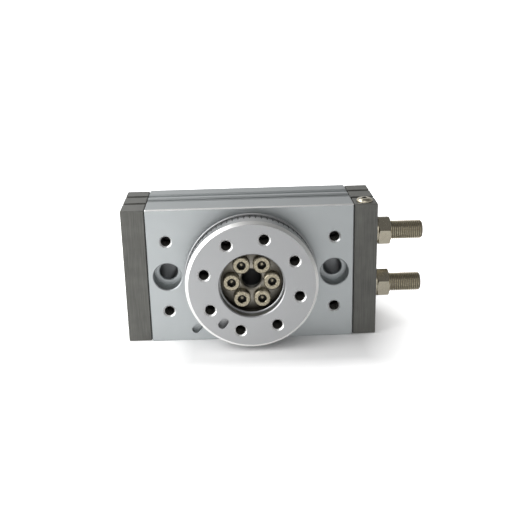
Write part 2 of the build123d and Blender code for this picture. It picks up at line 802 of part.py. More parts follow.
# Rack pistons and what they carry, one in each bore
for name, side in sides.items():
    shift = -side * rack_shift
    axis_z = side * bore_offset
    piston_plane = Plane(origin=(shift, -bore_height, axis_z), x_dir=(1, 0, 0), z_dir=(0, -1, 0))
    piston_axis = Axis((0, -bore_height, axis_z), (1, 0, 0))
    seal_places = [sign * (piston_half - seal_inset - seal_width / 2) for sign in ends.values()]
    wear_ring_places = [
        sign * (piston_half - wear_ring_inset - wear_ring_width / 2) for sign in ends.values()
    ]
    magnet_place = magnet_inset + magnet_width / 2 - piston_half

    with BuildPart() as rack:
        with BuildSketch(piston_plane) as rack_section:
            with Locations((0, piston_radius / 2)):
                Rectangle(2 * piston_half, piston_radius)
            chamfer(rack_section.vertices().group_by(Axis.Z)[-1], piston_edge)
            for place in seal_places:
                with Locations((place, piston_radius)):
                    Rectangle(seal_width, 2 * seal_groove_depth, mode=Mode.SUBTRACT)
            for place in wear_ring_places:
                with Locations((place, piston_radius)):
                    Rectangle(wear_ring_width, 2 * wear_ring_groove_depth, mode=Mode.SUBTRACT)
            with Locations((magnet_place, piston_radius)):
                Rectangle(magnet_width, 2 * magnet_groove_depth, mode=Mode.SUBTRACT)
        revolve(axis=piston_axis)

        # The side that faces the pinion is milled flat, and the teeth are cut into the flat
        tip_level = -side * (rack_pitch_offset + rack_addendum)
        root_level = -side * (rack_pitch_offset - rack_dedendum)
        toothed_half = piston_half - round_end_length
        reach = int((rack_travel + pinion_tip_radius - pitch / 2) / pitch)
        with BuildSketch(piston_plane):
            with Locations((0, tip_level - side * piston_radius / 2)):
                Rectangle(2 * toothed_half, piston_radius)
        extrude(amount=piston_radius, both=True, mode=Mode.SUBTRACT)
        with BuildSketch(piston_plane):
            for index in range(-reach, reach + 1):
                centre = index * pitch
                tip_half = pitch / 4 + rack_addendum * tan(pressure_angle) + flank_clearance
                root_half = pitch / 4 - rack_dedendum * tan(pressure_angle) + flank_clearance
                with BuildLine():
                    Polyline(
                        (centre - tip_half, tip_level),
                        (centre - root_half, root_level),
                        (centre + root_half, root_level),
                        (centre + tip_half, tip_level),
                        close=True,
                    )
                make_face()
        extrude(amount=piston_radius, both=True, mode=Mode.SUBTRACT)
    write_part(rack, f"{name}_rack")

    rings = {
        "seals": (seal_places, seal_width, seal_groove_depth, seal_clearance),
        "wear_rings": (wear_ring_places, wear_ring_width, wear_ring_groove_depth, running_clearance),
        "magnet": ([magnet_place], magnet_width, magnet_groove_depth, piston_clearance + magnet_clearance),
    }
    for ring_name, (places, width, depth, clearance) in rings.items():
        with BuildPart() as rack_ring:
            with BuildSketch(piston_plane):
                floor = piston_radius - depth + press_clearance
                top = bore_radius - clearance
                with Locations(*[(place, (floor + top) / 2) for place in places]):
                    Rectangle(width - 2 * press_clearance, top - floor)
            revolve(axis=piston_axis)
        write_part(rack_ring, f"{name}_rack_{ring_name}")

# Adjusting bolts with their pads, seal washers and lock nuts
for name, side in sides.items():
    axis_z = side * bore_offset
    bolt_axis = Axis((0, -bore_height, axis_z), (1, 0, 0))
    bolt_plane = Plane(origin=(0, -bore_height, axis_z), x_dir=(1, 0, 0), z_dir=(0, -1, 0))

    with BuildPart() as adjusting_bolt:
        with BuildSketch(bolt_plane) as bolt_section:
            with BuildLine():
                Polyline(
                    (bolt_inner + pad_seat_depth, 0),
                    (bolt_inner + pad_seat_depth, pad_radius + running_clearance),
                    (bolt_inner, pad_radius + running_clearance),
                    (bolt_inner, bolt_radius - bolt_edge / 2),
                    (bolt_inner + bolt_edge / 2, bolt_radius),
                    (bolt_end - bolt_edge, bolt_radius),
                    (bolt_end, bolt_radius - bolt_edge),
                    (bolt_end, 0),
                    close=True,
                )
            make_face()
        revolve(axis=bolt_axis)
        with BuildSketch(Plane.YZ.offset(bolt_end)):
            with Locations((-bore_height, axis_z)):
                RegularPolygon(bolt_socket / 2, hexagon_sides, major_radius=False)
        extrude(amount=-bolt_socket_depth, mode=Mode.SUBTRACT)
    write_part(adjusting_bolt, f"{name}_adjusting_bolt")

    with BuildPart() as cushion_pad:
        with BuildSketch(Plane.YZ.offset(pad_face)):
            with Locations((-bore_height, axis_z)):
                Circle(pad_radius)
        extrude(amount=pad_proud + pad_seat_depth)
    write_part(cushion_pad, f"{name}_cushion_pad")

    with BuildPart() as seal_washer:
        with BuildSketch(bolt_plane):
            with BuildLine():
                pocket_radius = bolt_radius + running_clearance + 2 * ring_section_radius
                Polyline(
                    (cover_end, pocket_radius),
                    (cover_end, seal_washer_radius),
                    (nut_seat - seal_washer_edge, seal_washer_radius),
                    (nut_seat, seal_washer_radius - seal_washer_edge),
                    (nut_seat, bolt_radius + 2 * running_clearance),
                    (cover_end + ring_pocket_depth, bolt_radius + 2 * running_clearance),
                    (cover_end + ring_pocket_depth, pocket_radius),
                    close=True,
                )
            make_face()
        revolve(axis=bolt_axis)
    write_part(seal_washer, f"{name}_seal_washer")

    with BuildPart() as seal_ring:
        with BuildSketch(bolt_plane):
            with Locations((cover_end + ring_pocket_depth / 2, pocket_radius - ring_section_radius)):
                Circle(ring_section_radius)
        revolve(axis=bolt_axis)
    write_part(seal_ring, f"{name}_seal_ring")

    with BuildPart() as lock_nut:
        with BuildSketch(Plane.YZ.offset(nut_seat)):
            with Locations((-bore_height, axis_z)):
                Circle(nut_face_radius)
        extrude(amount=nut_face_thickness)
        with BuildSketch(Plane.YZ.offset(nut_seat + nut_face_thickness)):
            with Locations((-bore_height, axis_z)):
                RegularPolygon(
                    nut_across_flats / 2, hexagon_sides, major_radius=False, rotation=nut_angles[name]
                )
        extrude(amount=nut_thickness)
        with BuildSketch(bolt_plane):
            corner_radius = nut_across_flats / 2 / cos(pi / hexagon_sides)
            nut_end = nut_seat + nut_face_thickness + nut_thickness
            with BuildLine():
                Polyline(
                    (nut_seat, bolt_radius + running_clearance + nut_face_thickness / 2),
                    (nut_seat, corner_radius - nut_chamfer),
                    (nut_seat + nut_face_thickness, corner_radius - nut_chamfer),
                    (nut_seat + nut_face_thickness + nut_chamfer / 2, corner_radius),
                    (nut_end - nut_chamfer / 2, corner_radius),
                    (nut_end, corner_radius - nut_chamfer),
                    (nut_end, bolt_radius + running_clearance + nut_face_thickness / 2),
                    (nut_end - nut_face_thickness / 2, bolt_radius + running_clearance),
                    (nut_seat + nut_face_thickness / 2, bolt_radius + running_clearance),
                    close=True,
                )
            make_face()
        revolve(axis=bolt_axis, mode=Mode.INTERSECT)
    write_part(lock_nut, f"{name}_lock_nut")
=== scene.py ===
import json
from math import atan2, hypot, pi, radians, sqrt, tau

import bpy
from bpy.props import FloatProperty, FloatVectorProperty, IntProperty, PointerProperty
from bpy.types import Operator, Panel, PropertyGroup
from mathutils import Matrix, Vector

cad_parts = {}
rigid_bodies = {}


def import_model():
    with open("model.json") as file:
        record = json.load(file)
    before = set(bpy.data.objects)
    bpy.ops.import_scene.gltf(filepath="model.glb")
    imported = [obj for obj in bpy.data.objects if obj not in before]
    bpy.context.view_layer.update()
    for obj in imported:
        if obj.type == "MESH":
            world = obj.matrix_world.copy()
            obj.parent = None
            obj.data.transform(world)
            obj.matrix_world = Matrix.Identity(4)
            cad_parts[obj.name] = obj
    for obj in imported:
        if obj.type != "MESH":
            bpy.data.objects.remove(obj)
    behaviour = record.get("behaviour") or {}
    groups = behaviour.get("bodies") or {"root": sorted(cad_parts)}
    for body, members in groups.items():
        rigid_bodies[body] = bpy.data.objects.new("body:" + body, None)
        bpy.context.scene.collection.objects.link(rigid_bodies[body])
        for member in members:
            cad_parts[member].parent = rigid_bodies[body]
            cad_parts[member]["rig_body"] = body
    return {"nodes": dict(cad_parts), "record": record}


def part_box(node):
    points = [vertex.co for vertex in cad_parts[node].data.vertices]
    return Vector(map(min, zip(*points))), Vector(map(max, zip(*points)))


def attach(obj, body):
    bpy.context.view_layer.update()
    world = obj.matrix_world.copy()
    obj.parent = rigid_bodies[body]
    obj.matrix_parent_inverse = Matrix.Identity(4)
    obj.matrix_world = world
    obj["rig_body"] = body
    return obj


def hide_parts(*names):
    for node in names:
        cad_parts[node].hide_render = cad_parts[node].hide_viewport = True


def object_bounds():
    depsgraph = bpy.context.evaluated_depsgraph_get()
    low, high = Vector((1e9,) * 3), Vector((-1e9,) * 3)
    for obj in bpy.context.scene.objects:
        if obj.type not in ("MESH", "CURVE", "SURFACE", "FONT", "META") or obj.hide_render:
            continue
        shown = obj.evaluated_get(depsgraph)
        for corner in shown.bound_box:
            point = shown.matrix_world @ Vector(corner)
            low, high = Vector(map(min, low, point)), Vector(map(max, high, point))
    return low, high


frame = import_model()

bl_info = {
    "name": "Rotary Actuator Dressing",
    "version": (1, 0, 0),
    "blender": (4, 5, 0),
    "location": "View3D > Sidebar > Actuator",
    "description": "Threads, graduation, screws and finishes for a pneumatic rotary actuator",
    "category": "Object",
}

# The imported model: its box before anything is added, its nodes, and the places that the new pieces keep to
CAD_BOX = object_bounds()
NODES = frame["nodes"]
MM = 0.001
SIDES = ("upper", "lower")

TABLE_LOW, TABLE_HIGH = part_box("rotary_table")
TABLE_FRONT = TABLE_LOW.y
TABLE_DEPTH = TABLE_HIGH.y - TABLE_LOW.y
BODY_LOW, BODY_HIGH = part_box("body_block")
BODY_FRONT = BODY_LOW.y
FLOOR_LEVEL = CAD_BOX[0].z

# A piece is modelled upright, with its axis along Z, and then turned to face the front or an end
TO_FRONT = Matrix.Rotation(pi / 2, 4, "X")
TO_RIGHT = Matrix.Rotation(pi / 2, 4, "Y")
TO_LEFT = Matrix.Rotation(-pi / 2, 4, "Y")
UPRIGHT = Matrix.Identity(4)

# Cap screws, M5
HEAD_RADIUS = 4.25 * MM
HEAD_HEIGHT = 5.0 * MM
SHANK_RADIUS = 2.5 * MM
SHANK_LENGTH = 12.0 * MM
SCREW_SOCKET = 4.0 * MM
SCREW_SOCKET_DEPTH = 2.5 * MM

# Vertices closer than this are one
MERGE_GAP = 0.001 * MM

# Tapped holes, M6, in the table and the body: radii of drill and thread, depths, and width of the cut mouth
TAP_DRILL = 2.5 * MM
TAP_CREST = 3.0 * MM
TAP_DEPTH = 12.0 * MM
TAP_THREAD = 8.0 * MM
TAP_EDGE = 0.7 * MM

# The table, from its boss at the rear to the recess in its front. Its side carries the graduation.
TABLE_THICKNESS = 15.7 * MM
BOSS_RADIUS = 18.0 * MM
SPIGOT_RADIUS = 15.02 * MM
REAR_RADIUS = 32.0 * MM
FLANGE_RADIUS = 33.2 * MM
SIDE_RADIUS = 32.5 * MM
EDGE_WIDTH = 1.5 * MM
RECESS_RADIUS = 16.0 * MM
RECESS_DEPTH = 5.0 * MM
WELL_RADIUS = 15.4 * MM
BORE_RADIUS = 5.0 * MM
TAPPED_CIRCLE = 24.0 * MM
SCREW_CIRCLE = 10.0 * MM

# The holes in the front of the body: counterbored ones on the middle line, tapped ones above and below them
BODY_HOLE_X = 42.0 * MM
BODY_TAPPED_Z = 18.5 * MM


def linear(hex_colour):
    """The linear colour of an sRGB hex value."""
    channels = [int(hex_colour[place:place + 2], 16) / 255 for place in (1, 3, 5)]
    return [c / 12.92 if c <= 0.04045 else ((c + 0.055) / 1.055) ** 2.4 for c in channels]


# Bare aluminium's near white: the freshly cut mouths of tapped holes, and a painted highlight on the body's
# upper front edge
BARE_METAL_AND_HIGHLIGHT = linear("#F6F6F4")


# Sizes and colours that a user would change

class ActuatorSizes(PropertyGroup):
    bolt_pitch: FloatProperty(
        name="Bolt thread pitch", description="Pitch of the fine thread on the adjusting bolts",
        default=1.0 * MM, min=0.5 * MM, max=2.0 * MM, unit="LENGTH",
    )
    screw_pitch: FloatProperty(
        name="Screw thread pitch", description="Pitch of the M5 cap screws",
        default=0.8 * MM, min=0.4 * MM, max=1.5 * MM, unit="LENGTH",
    )
    hole_pitch: FloatProperty(
        name="Hole thread pitch", description="Pitch of the M6 tapped holes",
        default=1.0 * MM, min=0.5 * MM, max=1.5 * MM, unit="LENGTH",
    )
    knurl_teeth: IntProperty(
        name="Knurl teeth", description="Ridges round the head of a cap screw",
        default=36, min=12, max=60,
    )
    mark_depth: FloatProperty(
        name="Mark depth", description="Depth of the graduation marks in the table's side",
        default=0.15 * MM, min=0.05 * MM, max=0.4 * MM, unit="LENGTH",
    )
    mark_step: FloatProperty(
        name="Mark step", description="Angle between two graduation marks",
        default=radians(1.0), min=radians(0.5), max=radians(10.0), subtype="ANGLE",
    )
    marks_per_long: IntProperty(
        name="Marks to a long one", description="Every so many marks, one is long",
        default=5, min=2, max=20,
    )


class ActuatorColours(PropertyGroup):
    body: FloatVectorProperty(
        name="Body", description="Satin anodised aluminium of the body",
        subtype="COLOR", size=3, min=0.0, max=1.0, default=linear("#AAAEAF"),
    )
    table: FloatVectorProperty(
        name="Table", description="Turned and anodised aluminium of the table",
        subtype="COLOR", size=3, min=0.0, max=1.0, default=linear("#A5A6A7"),
    )
    covers: FloatVectorProperty(
        name="Covers", description="Dark hard-anodised end covers",
        subtype="COLOR", size=3, min=0.0, max=1.0, default=linear("#595955"),
    )
    bolts: FloatVectorProperty(
        name="Bolts and nuts", description="Nickel plating of the adjusting bolts and lock nuts",
        subtype="COLOR", size=3, min=0.0, max=1.0, default=linear("#C2BBA9"),
    )
    screws: FloatVectorProperty(
        name="Cap screws", description="Stainless steel of the cap screws",
        subtype="COLOR", size=3, min=0.0, max=1.0, default=linear("#B0A893"),
    )
    key_power: FloatProperty(
        name="Key lamp", description="Power of the large soft lamp, up on the left of the object",
        default=3.1, min=0.0, max=50.0, unit="POWER",
    )
    front_power: FloatProperty(
        name="Front lamp", description="Power of the weak lamp above the camera",
        default=0.6, min=0.0, max=50.0, unit="POWER",
    )
    top_power: FloatProperty(
        name="Top lamp", description="Power of the small lamp above and behind the object",
        default=1.3, min=0.0, max=50.0, unit="POWER",
    )


# Material nodes

def add_node(tree, kind, settings=(), inputs=()):
    """Add a node, set its properties, and fill its inputs by name or in order with links or values."""
    made = tree.nodes.new(kind)
    for name, value in dict(settings).items():
        setattr(made, name, value)
    for name, value in inputs.items() if isinstance(inputs, dict) else enumerate(inputs):
        if isinstance(value, bpy.types.NodeSocket):
            tree.links.new(value, made.inputs[name])
        else:
            made.inputs[name].default_value = value
    return made


def new_finish(name, base, metallic, roughness):
    """A material with one Principled shader, and the tree and shader to add a pattern to."""
    material = bpy.data.materials.new(name)
    material.use_nodes = True
    tree = material.node_tree
    tree.nodes.clear()
    shader = add_node(tree, "ShaderNodeBsdfPrincipled", (), {
        "Base Color": (*base, 1.0), "Metallic": metallic, "Roughness": roughness,
    })
    add_node(tree, "ShaderNodeOutputMaterial", (), {"Surface": shader.outputs[0]})
    return material, tree, shader


def shade(colour, factor):
    """A linear colour made lighter or darker."""
    return [min(1.0, channel * factor) for channel in colour]


def coordinates(tree, kind="Object"):
    """The X, Y and Z of a place on the object, of a direction into the room, or of a normal."""
    here = add_node(tree, "ShaderNodeTexCoord")
    return add_node(tree, "ShaderNodeSeparateXYZ", (), (here.outputs[kind],)).outputs


def grain(tree, size_mm, stretch=(1.0, 1.0, 1.0), detail=3.0):
    """Noise whose spots are about size_mm across, and longer where stretch is over 1."""
    here = add_node(tree, "ShaderNodeTexCoord")
    scale = [1.0 / (size_mm * MM * s) for s in stretch]
    scaled = add_node(tree, "ShaderNodeMapping", (), {"Vector": here.outputs["Object"], "Scale": scale})
    return add_node(tree, "ShaderNodeTexNoise", (), {
        "Vector": scaled.outputs[0], "Scale": 1.0, "Detail": detail, "Roughness": 0.6,
    }).outputs["Fac"]


def distance(tree, first, second):
    """How far a place is from zero by two of its coordinates."""
    flat = add_node(tree, "ShaderNodeCombineXYZ", (), (first, second))
    length = add_node(tree, "ShaderNodeVectorMath", {"operation": "LENGTH"}, (flat.outputs[0],))
    return length.outputs["Value"]


def where(tree, *tests):
    """One where all the tests hold, and zero elsewhere. A test is a value, a comparison and its limit."""
    mask = 1.0
    for value, comparison, limit in tests:
        holds = add_node(tree, "ShaderNodeMath", {"operation": comparison}, (value, limit)).outputs[0]
        mask = add_node(tree, "ShaderNodeMath", {"operation": "MULTIPLY"}, (mask, holds)).outputs[0]
    return mask


def tint(tree, pattern, dark, pale, low=0.0, high=1.0, most=1.0):
    """A colour that goes from dark to pale as a pattern goes from low to high, or part of that way."""
    factor = add_node(tree, "ShaderNodeMapRange", (), (pattern, low, high, 0.0, most)).outputs[0]
    sides = [c if isinstance(c, bpy.types.NodeSocket) else (*c, 1.0) for c in (dark, pale)]
    return add_node(tree, "ShaderNodeMix", {"data_type": "RGBA"}, {
        "Factor": factor, 6: sides[0], 7: sides[1],
    }).outputs[2]


def texture(tree, shader, pattern, rough=(), depth_mm=0.0, strength=0.4):
    """Let a pattern carry the roughness from one value to another, and raise the surface by depth_mm."""
    if rough:
        varied = add_node(tree, "ShaderNodeMapRange", (), (pattern, 0.0, 1.0, *rough))
        tree.links.new(varied.outputs[0], shader.inputs["Roughness"])
    if depth_mm:
        raised = add_node(tree, "ShaderNodeBump", (), {
            "Height": pattern, "Distance": depth_mm * MM, "Strength": strength,
        })
        tree.links.new(raised.outputs["Normal"], shader.inputs["Normal"])


def body_finish(colour):
    # Extruded aluminium, milled on the faces, bead blasted and clear anodised: an even satin grey with a
    # sparkle too fine to see one by one, faint clouds, drawing lines along the extruded sides, and an upper
    # front edge painted near white as a highlight
    material, tree, shader = new_finish("satin anodised aluminium", colour, 1.0, 0.45)
    edge_width = 0.6 * MM
    _, y, z = coordinates(tree)
    clouds = grain(tree, 14.0, detail=2.0)
    sparkle = grain(tree, 0.35, detail=2.0)
    lines = grain(tree, 0.5, stretch=(60.0, 1.0, 1.0))
    _, _, up = coordinates(tree, "Normal")
    level = add_node(tree, "ShaderNodeMath", {"operation": "ABSOLUTE"}, (up,)).outputs[0]
    pattern = add_node(tree, "ShaderNodeMix", {"data_type": "FLOAT"},
                       {"Factor": level, "A": sparkle, "B": lines}).outputs[0]
    cloudy = tint(tree, clouds, shade(colour, 0.94), shade(colour, 1.06))
    speckled = tint(tree, pattern, cloudy, shade(colour, 1.08), 0.3, 0.7, most=0.5)
    # Painted highlight: the upper front edge is coloured near white
    upper_edge_highlight = where(tree, (z, "GREATER_THAN", BODY_HIGH.z - edge_width),
                       (y, "LESS_THAN", BODY_FRONT + edge_width))
    tree.links.new(tint(tree, upper_edge_highlight, speckled, BARE_METAL_AND_HIGHLIGHT), shader.inputs["Base Color"])
    texture(tree, shader, pattern, (0.4, 0.52), 0.008, 0.35)
    return material


def table_finish(colour):
    # The same aluminium turned on a lathe: rings about the axis under the anodising, an outer edge painted
    # near white as a highlight, dark paint left in the engraved marks, and a recess floor painted darker
    # towards its wall as shade
    material, tree, shader = new_finish("turned anodised aluminium", colour, 1.0, 0.4)
    x, y, z = coordinates(tree)
    radius = distance(tree, x, z)
    rings_per_metre = 1.0 / (0.3 * MM)
    ring_place = add_node(tree, "ShaderNodeMath", {"operation": "MULTIPLY"}, (radius, rings_per_metre))
    ring_line = add_node(tree, "ShaderNodeCombineXYZ", (), (ring_place.outputs[0],))
    rings = add_node(tree, "ShaderNodeTexNoise", (), {
        "Vector": ring_line.outputs[0], "Scale": 1.0, "Detail": 2.0,
    }).outputs["Fac"]
    pattern = add_node(tree, "ShaderNodeMix", {"data_type": "FLOAT"},
                       {"Factor": 0.4, "A": rings, "B": grain(tree, 0.35, detail=2.0)}).outputs[0]
    satin = tint(tree, pattern, shade(colour, 0.95), shade(colour, 1.05), 0.3, 0.7)

    recess_floor = where(tree, (radius, "LESS_THAN", WELL_RADIUS + 0.05 * MM),
                         (y, "GREATER_THAN", TABLE_FRONT + RECESS_DEPTH + 0.35 * MM))
    # Painted shade: the recess floor darkens from its middle towards its wall
    recess_shade = tint(tree, radius, linear("#A09C93"), linear("#4C4942"), 9.0 * MM, 15.0 * MM)
    # Painted highlight: the front chamfer is coloured near white
    outer_edge_highlight = where(tree, (radius, "GREATER_THAN", SIDE_RADIUS - EDGE_WIDTH + 0.02 * MM),
                       (y, "LESS_THAN", TABLE_FRONT + EDGE_WIDTH - 0.02 * MM))
    engraving = where(tree, (radius, "LESS_THAN", SIDE_RADIUS - 0.05 * MM),
                      (radius, "GREATER_THAN", SIDE_RADIUS - 0.4 * MM),
                      (y, "GREATER_THAN", TABLE_FRONT + EDGE_WIDTH + 0.2 * MM))
    worked = satin
    for area, area_colour in (
        (recess_floor, recess_shade), (outer_edge_highlight, linear("#E8E8E6")), (engraving, linear("#1E1E1E")),
    ):
        worked = tint(tree, area, worked, area_colour)
    tree.links.new(worked, shader.inputs["Base Color"])
    texture(tree, shader, pattern, (0.34, 0.48), 0.01, 0.35)
    return material


def hollow_shade_finish(colour):
    # Threads, sockets and holes are painted nearly black as the shade inside them, and wet enough for a
    # small light spot
    material, tree, shader = new_finish("oiled steel", colour, 0.6, 0.34)
    shade_grain = grain(tree, 0.8, detail=2.0)
    tree.links.new(tint(tree, shade_grain, shade(colour, 0.5), shade(colour, 1.8)), shader.inputs["Base Color"])
    texture(tree, shader, shade_grain, (0.26, 0.46))
    return material


def cover_finish(colour):
    # Die-cast cover, linished along Z and painted a dark warm grey: fine upright lines under a satin coat
    material, tree, shader = new_finish("dark painted cover", colour, 0.25, 0.48)
    lines = grain(tree, 0.45, stretch=(1.0, 1.0, 40.0), detail=4.0)
    clouds = grain(tree, 9.0, detail=2.0)
    mixed = add_node(tree, "ShaderNodeMix", {"data_type": "FLOAT"},
                     {"Factor": 0.3, "A": lines, "B": clouds}).outputs[0]
    painted = tint(tree, mixed, shade(colour, 0.75), shade(colour, 1.28), 0.35, 0.65)
    tree.links.new(painted, shader.inputs["Base Color"])
    texture(tree, shader, lines, (0.4, 0.58))
    texture(tree, shader, mixed, depth_mm=0.02, strength=0.5)
    return material


def machined_finish(name, colour, roughness, size_mm, stretch=(1.0, 1.0, 1.0), dark=0.65):
    # Bare or plated metal off the machine: bright, with the cutter's lines and a little dirt in them
    material, tree, shader = new_finish(name, colour, 1.0, roughness)
    lines = grain(tree, size_mm, stretch)
    lined = tint(tree, lines, shade(colour, dark), shade(colour, 1.2), 0.3, 0.7)
    tree.links.new(lined, shader.inputs["Base Color"])
    texture(tree, shader, lines, (roughness - 0.07, roughness + 0.1), 0.01)
    return material


def shaft_shade_finish(colour):
    # Dark steel painted near black and matt as the shade in the hollow bore: it gives no mirror, even along
    # the bore
    material, tree, shader = new_finish("blackened steel", colour, 0.0, 0.6)
    shader.inputs["Specular IOR Level"].default_value = 0.15
    turned = grain(tree, 0.3, stretch=(1.0, 8.0, 1.0))
    tree.links.new(tint(tree, turned, shade(colour, 0.7), shade(colour, 1.5)), shader.inputs["Base Color"])
    texture(tree, shader, turned, depth_mm=0.01)
    return material


def thread_finish(colour):
    # Nickel on a fine thread: crests painted brighter as a highlight, and roots painted dark as shade, with
    # a little dust. The contrast is a little stronger than in life, because threads this fine hardly show.
    material, tree, shader = new_finish("nickel-plated thread", colour, 1.0, 0.24)
    low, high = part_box("upper_adjusting_bolt")
    axis = (low + high) / 2
    root_radius = 4.4 * MM
    crest_radius = 4.75 * MM
    _, y, z = coordinates(tree)
    either_side = add_node(tree, "ShaderNodeMath", {"operation": "ABSOLUTE"}, (z,)).outputs[0]
    away_y, away_z = (
        add_node(tree, "ShaderNodeMath", {"operation": "SUBTRACT"}, pair).outputs[0]
        for pair in ((y, axis.y), (either_side, axis.z))
    )
    crest = add_node(tree, "ShaderNodeMapRange", (),
                     (distance(tree, away_y, away_z), root_radius, crest_radius, 0.0, 1.0)).outputs[0]
    dust = add_node(tree, "ShaderNodeMapRange", (), (grain(tree, 1.2), 0.3, 0.7, 0.75, 1.1)).outputs[0]
    # Painted shade in the roots and painted highlight on the crests, varied by a little dust
    dust_shade_and_highlight = add_node(tree, "ShaderNodeMath", {"operation": "MULTIPLY"}, (crest, dust)).outputs[0]
    plated = add_node(tree, "ShaderNodeMix", {"data_type": "RGBA"}, {
        "Factor": dust_shade_and_highlight, 6: (*shade(colour, 0.42), 1.0), 7: (*shade(colour, 1.45), 1.0),
    })
    tree.links.new(plated.outputs[2], shader.inputs["Base Color"])
    texture(tree, shader, crest, (0.5, 0.22))
    return material


def moulded_finish(name, colour, roughness, size_mm):
    # Rubber or plastic straight from its mould: even colour, a dull skin and a slight orange-peel
    material, tree, shader = new_finish(name, colour, 0.0, roughness)
    skin = grain(tree, size_mm)
    tree.links.new(tint(tree, skin, shade(colour, 0.85), shade(colour, 1.2)), shader.inputs["Base Color"])
    texture(tree, shader, skin, (roughness - 0.08, roughness + 0.08), 0.02)
    return material


def make_finishes(colours):
    """The finish of every material slot in the record, and those of threads, fresh cuts, and the painted
    shade in sockets, holes and bores.
    """
    along_bore = (1.0, 1.0, 6.0)
    along_bolt = (0.25, 1.0, 1.0)
    finishes = {
        "body_aluminium": body_finish(colours.body),
        "table_aluminium": table_finish(colours.table),
        "cover_dark": cover_finish(colours.covers),
        "plated_steel": machined_finish("nickel-plated steel", colours.bolts, 0.2, 0.5, along_bolt),
        "screw_steel": machined_finish("turned stainless steel", colours.screws, 0.28, 0.7, dark=0.3),
        # The shaft, painted near black as the shade in its hollow bore
        "shaft_steel": shaft_shade_finish(linear("#101014")),
        "bearing_steel": machined_finish("polished bearing steel", linear("#C9CACC"), 0.12, 0.8),
        "spring_steel": machined_finish("phosphated spring steel", linear("#3B3A38"), 0.5, 0.3),
        "cage_brass": machined_finish("pressed brass", linear("#C9A45C"), 0.25, 0.5),
        "seal_rubber": moulded_finish("black nitrile rubber", linear("#1A1A1A"), 0.62, 0.4),
        "wear_plastic": moulded_finish("filled bearing plastic", linear("#4A4F4A"), 0.5, 0.5),
        "magnet_rubber": moulded_finish("plastic-bonded magnet", linear("#2B2826"), 0.58, 0.4),
        "cushion_urethane": moulded_finish("amber urethane", linear("#B08A3A"), 0.4, 0.6),
        # Sockets and holes, painted nearly black as their shade
        "hollow_shade": hollow_shade_finish(linear("#17150F")),
        "thread": thread_finish(colours.bolts),
        "bare": machined_finish("freshly cut aluminium", BARE_METAL_AND_HIGHLIGHT, 0.42, 0.6),
        # The bore below each counterbore, painted darker as shade
        "deep_bore_shade": machined_finish("drilled aluminium", linear("#63676A"), 0.42, 0.6, along_bore),
    }
    for slot, material in finishes.items():
        material["slot"] = slot
    return finishes


def finish_for(slot):
    """The material that was made for one slot of the record."""
    return next(m for m in bpy.data.materials if m.get("slot") == slot)


# Modelling, in the way it is done by hand

def deselect():
    """Leave edit mode and select nothing, so that an operator acts only on what it is given."""
    if bpy.context.mode != "OBJECT":
        bpy.ops.object.mode_set(mode="OBJECT")
    bpy.ops.object.select_all(action="DESELECT")


def take(*pieces):
    """Select these pieces alone and make the first the active one."""
    deselect()
    for piece in pieces:
        piece.select_set(True)
    bpy.context.view_layer.objects.active = pieces[0]


def edit(piece, test=None):
    """Open one piece in edit mode, with the vertices selected whose place passes a test, or all of them."""
    take(piece)
    bpy.ops.object.mode_set(mode="EDIT")
    bpy.ops.mesh.select_mode(type="VERT")
    bpy.ops.mesh.select_all(action="SELECT" if test is None else "DESELECT")
    if test is not None:
        bpy.ops.object.mode_set(mode="OBJECT")
        for vertex in piece.data.vertices:
            vertex.select = test(vertex.co)
        bpy.ops.object.mode_set(mode="EDIT")


def close_edit():
    """Back to object mode."""
    bpy.ops.object.mode_set(mode="OBJECT")


def settle(piece, place_at=UPRIGHT):
    """Turn and move a finished piece, and put that into its mesh."""
    take(piece)
    piece.matrix_world = place_at @ piece.matrix_world
    bpy.ops.object.transform_apply(location=True, rotation=True, scale=True)
    return piece


def tidy_mesh(piece):
    """Merge the doubles of a piece and turn its faces outwards."""
    edit(piece)
    bpy.ops.mesh.remove_doubles(threshold=MERGE_GAP)
    bpy.ops.mesh.normals_make_consistent(inside=False)
    close_edit()
    return piece


def smooth(piece, degrees=30.0):
    """Shade a piece smooth, with creases where its faces meet at more than an angle."""
    take(piece)
    bpy.ops.object.shade_smooth_by_angle(angle=radians(degrees))
    return piece


def finish_modifier(piece, kind, **settings):
    """Add a modifier to a piece and apply it."""
    take(piece)
    modifier = piece.modifiers.new("shape", kind)
    for name, value in settings.items():
        setattr(modifier, name, value)
    bpy.ops.object.modifier_apply(modifier=modifier.name)
    return piece


def carve(piece, cutter, operation="DIFFERENCE"):
    """Cut a piece with another one, which leaves its own material on the cut, and throw the cutter away."""
    finish_modifier(piece, "BOOLEAN", operation=operation, object=cutter, solver="EXACT",
                    material_mode="TRANSFER")
    bpy.data.objects.remove(cutter)
    return piece


def copy_of(piece, name, place_at=UPRIGHT):
    """A copy of a piece with its own mesh, turned and moved to its place."""
    made = piece.copy()
    made.data = piece.data.copy()
    made.name = name
    bpy.context.scene.collection.objects.link(made)
    return settle(made, place_at)


def join(pieces, name):
    """Make several meshes one."""
    take(*pieces)
    if len(pieces) > 1:
        bpy.ops.object.join()
    bpy.context.object.name = name
    return bpy.context.object


def merged_copy(node, name):
    """A copy of a CAD node with its loose triangles joined up, so that it can be cut."""
    made = copy_of(NODES[node], name)
    made.parent = None
    for key in list(made.keys()):
        del made[key]
    take(made)
    bpy.ops.mesh.customdata_custom_splitnormals_clear()
    return tidy_mesh(made)


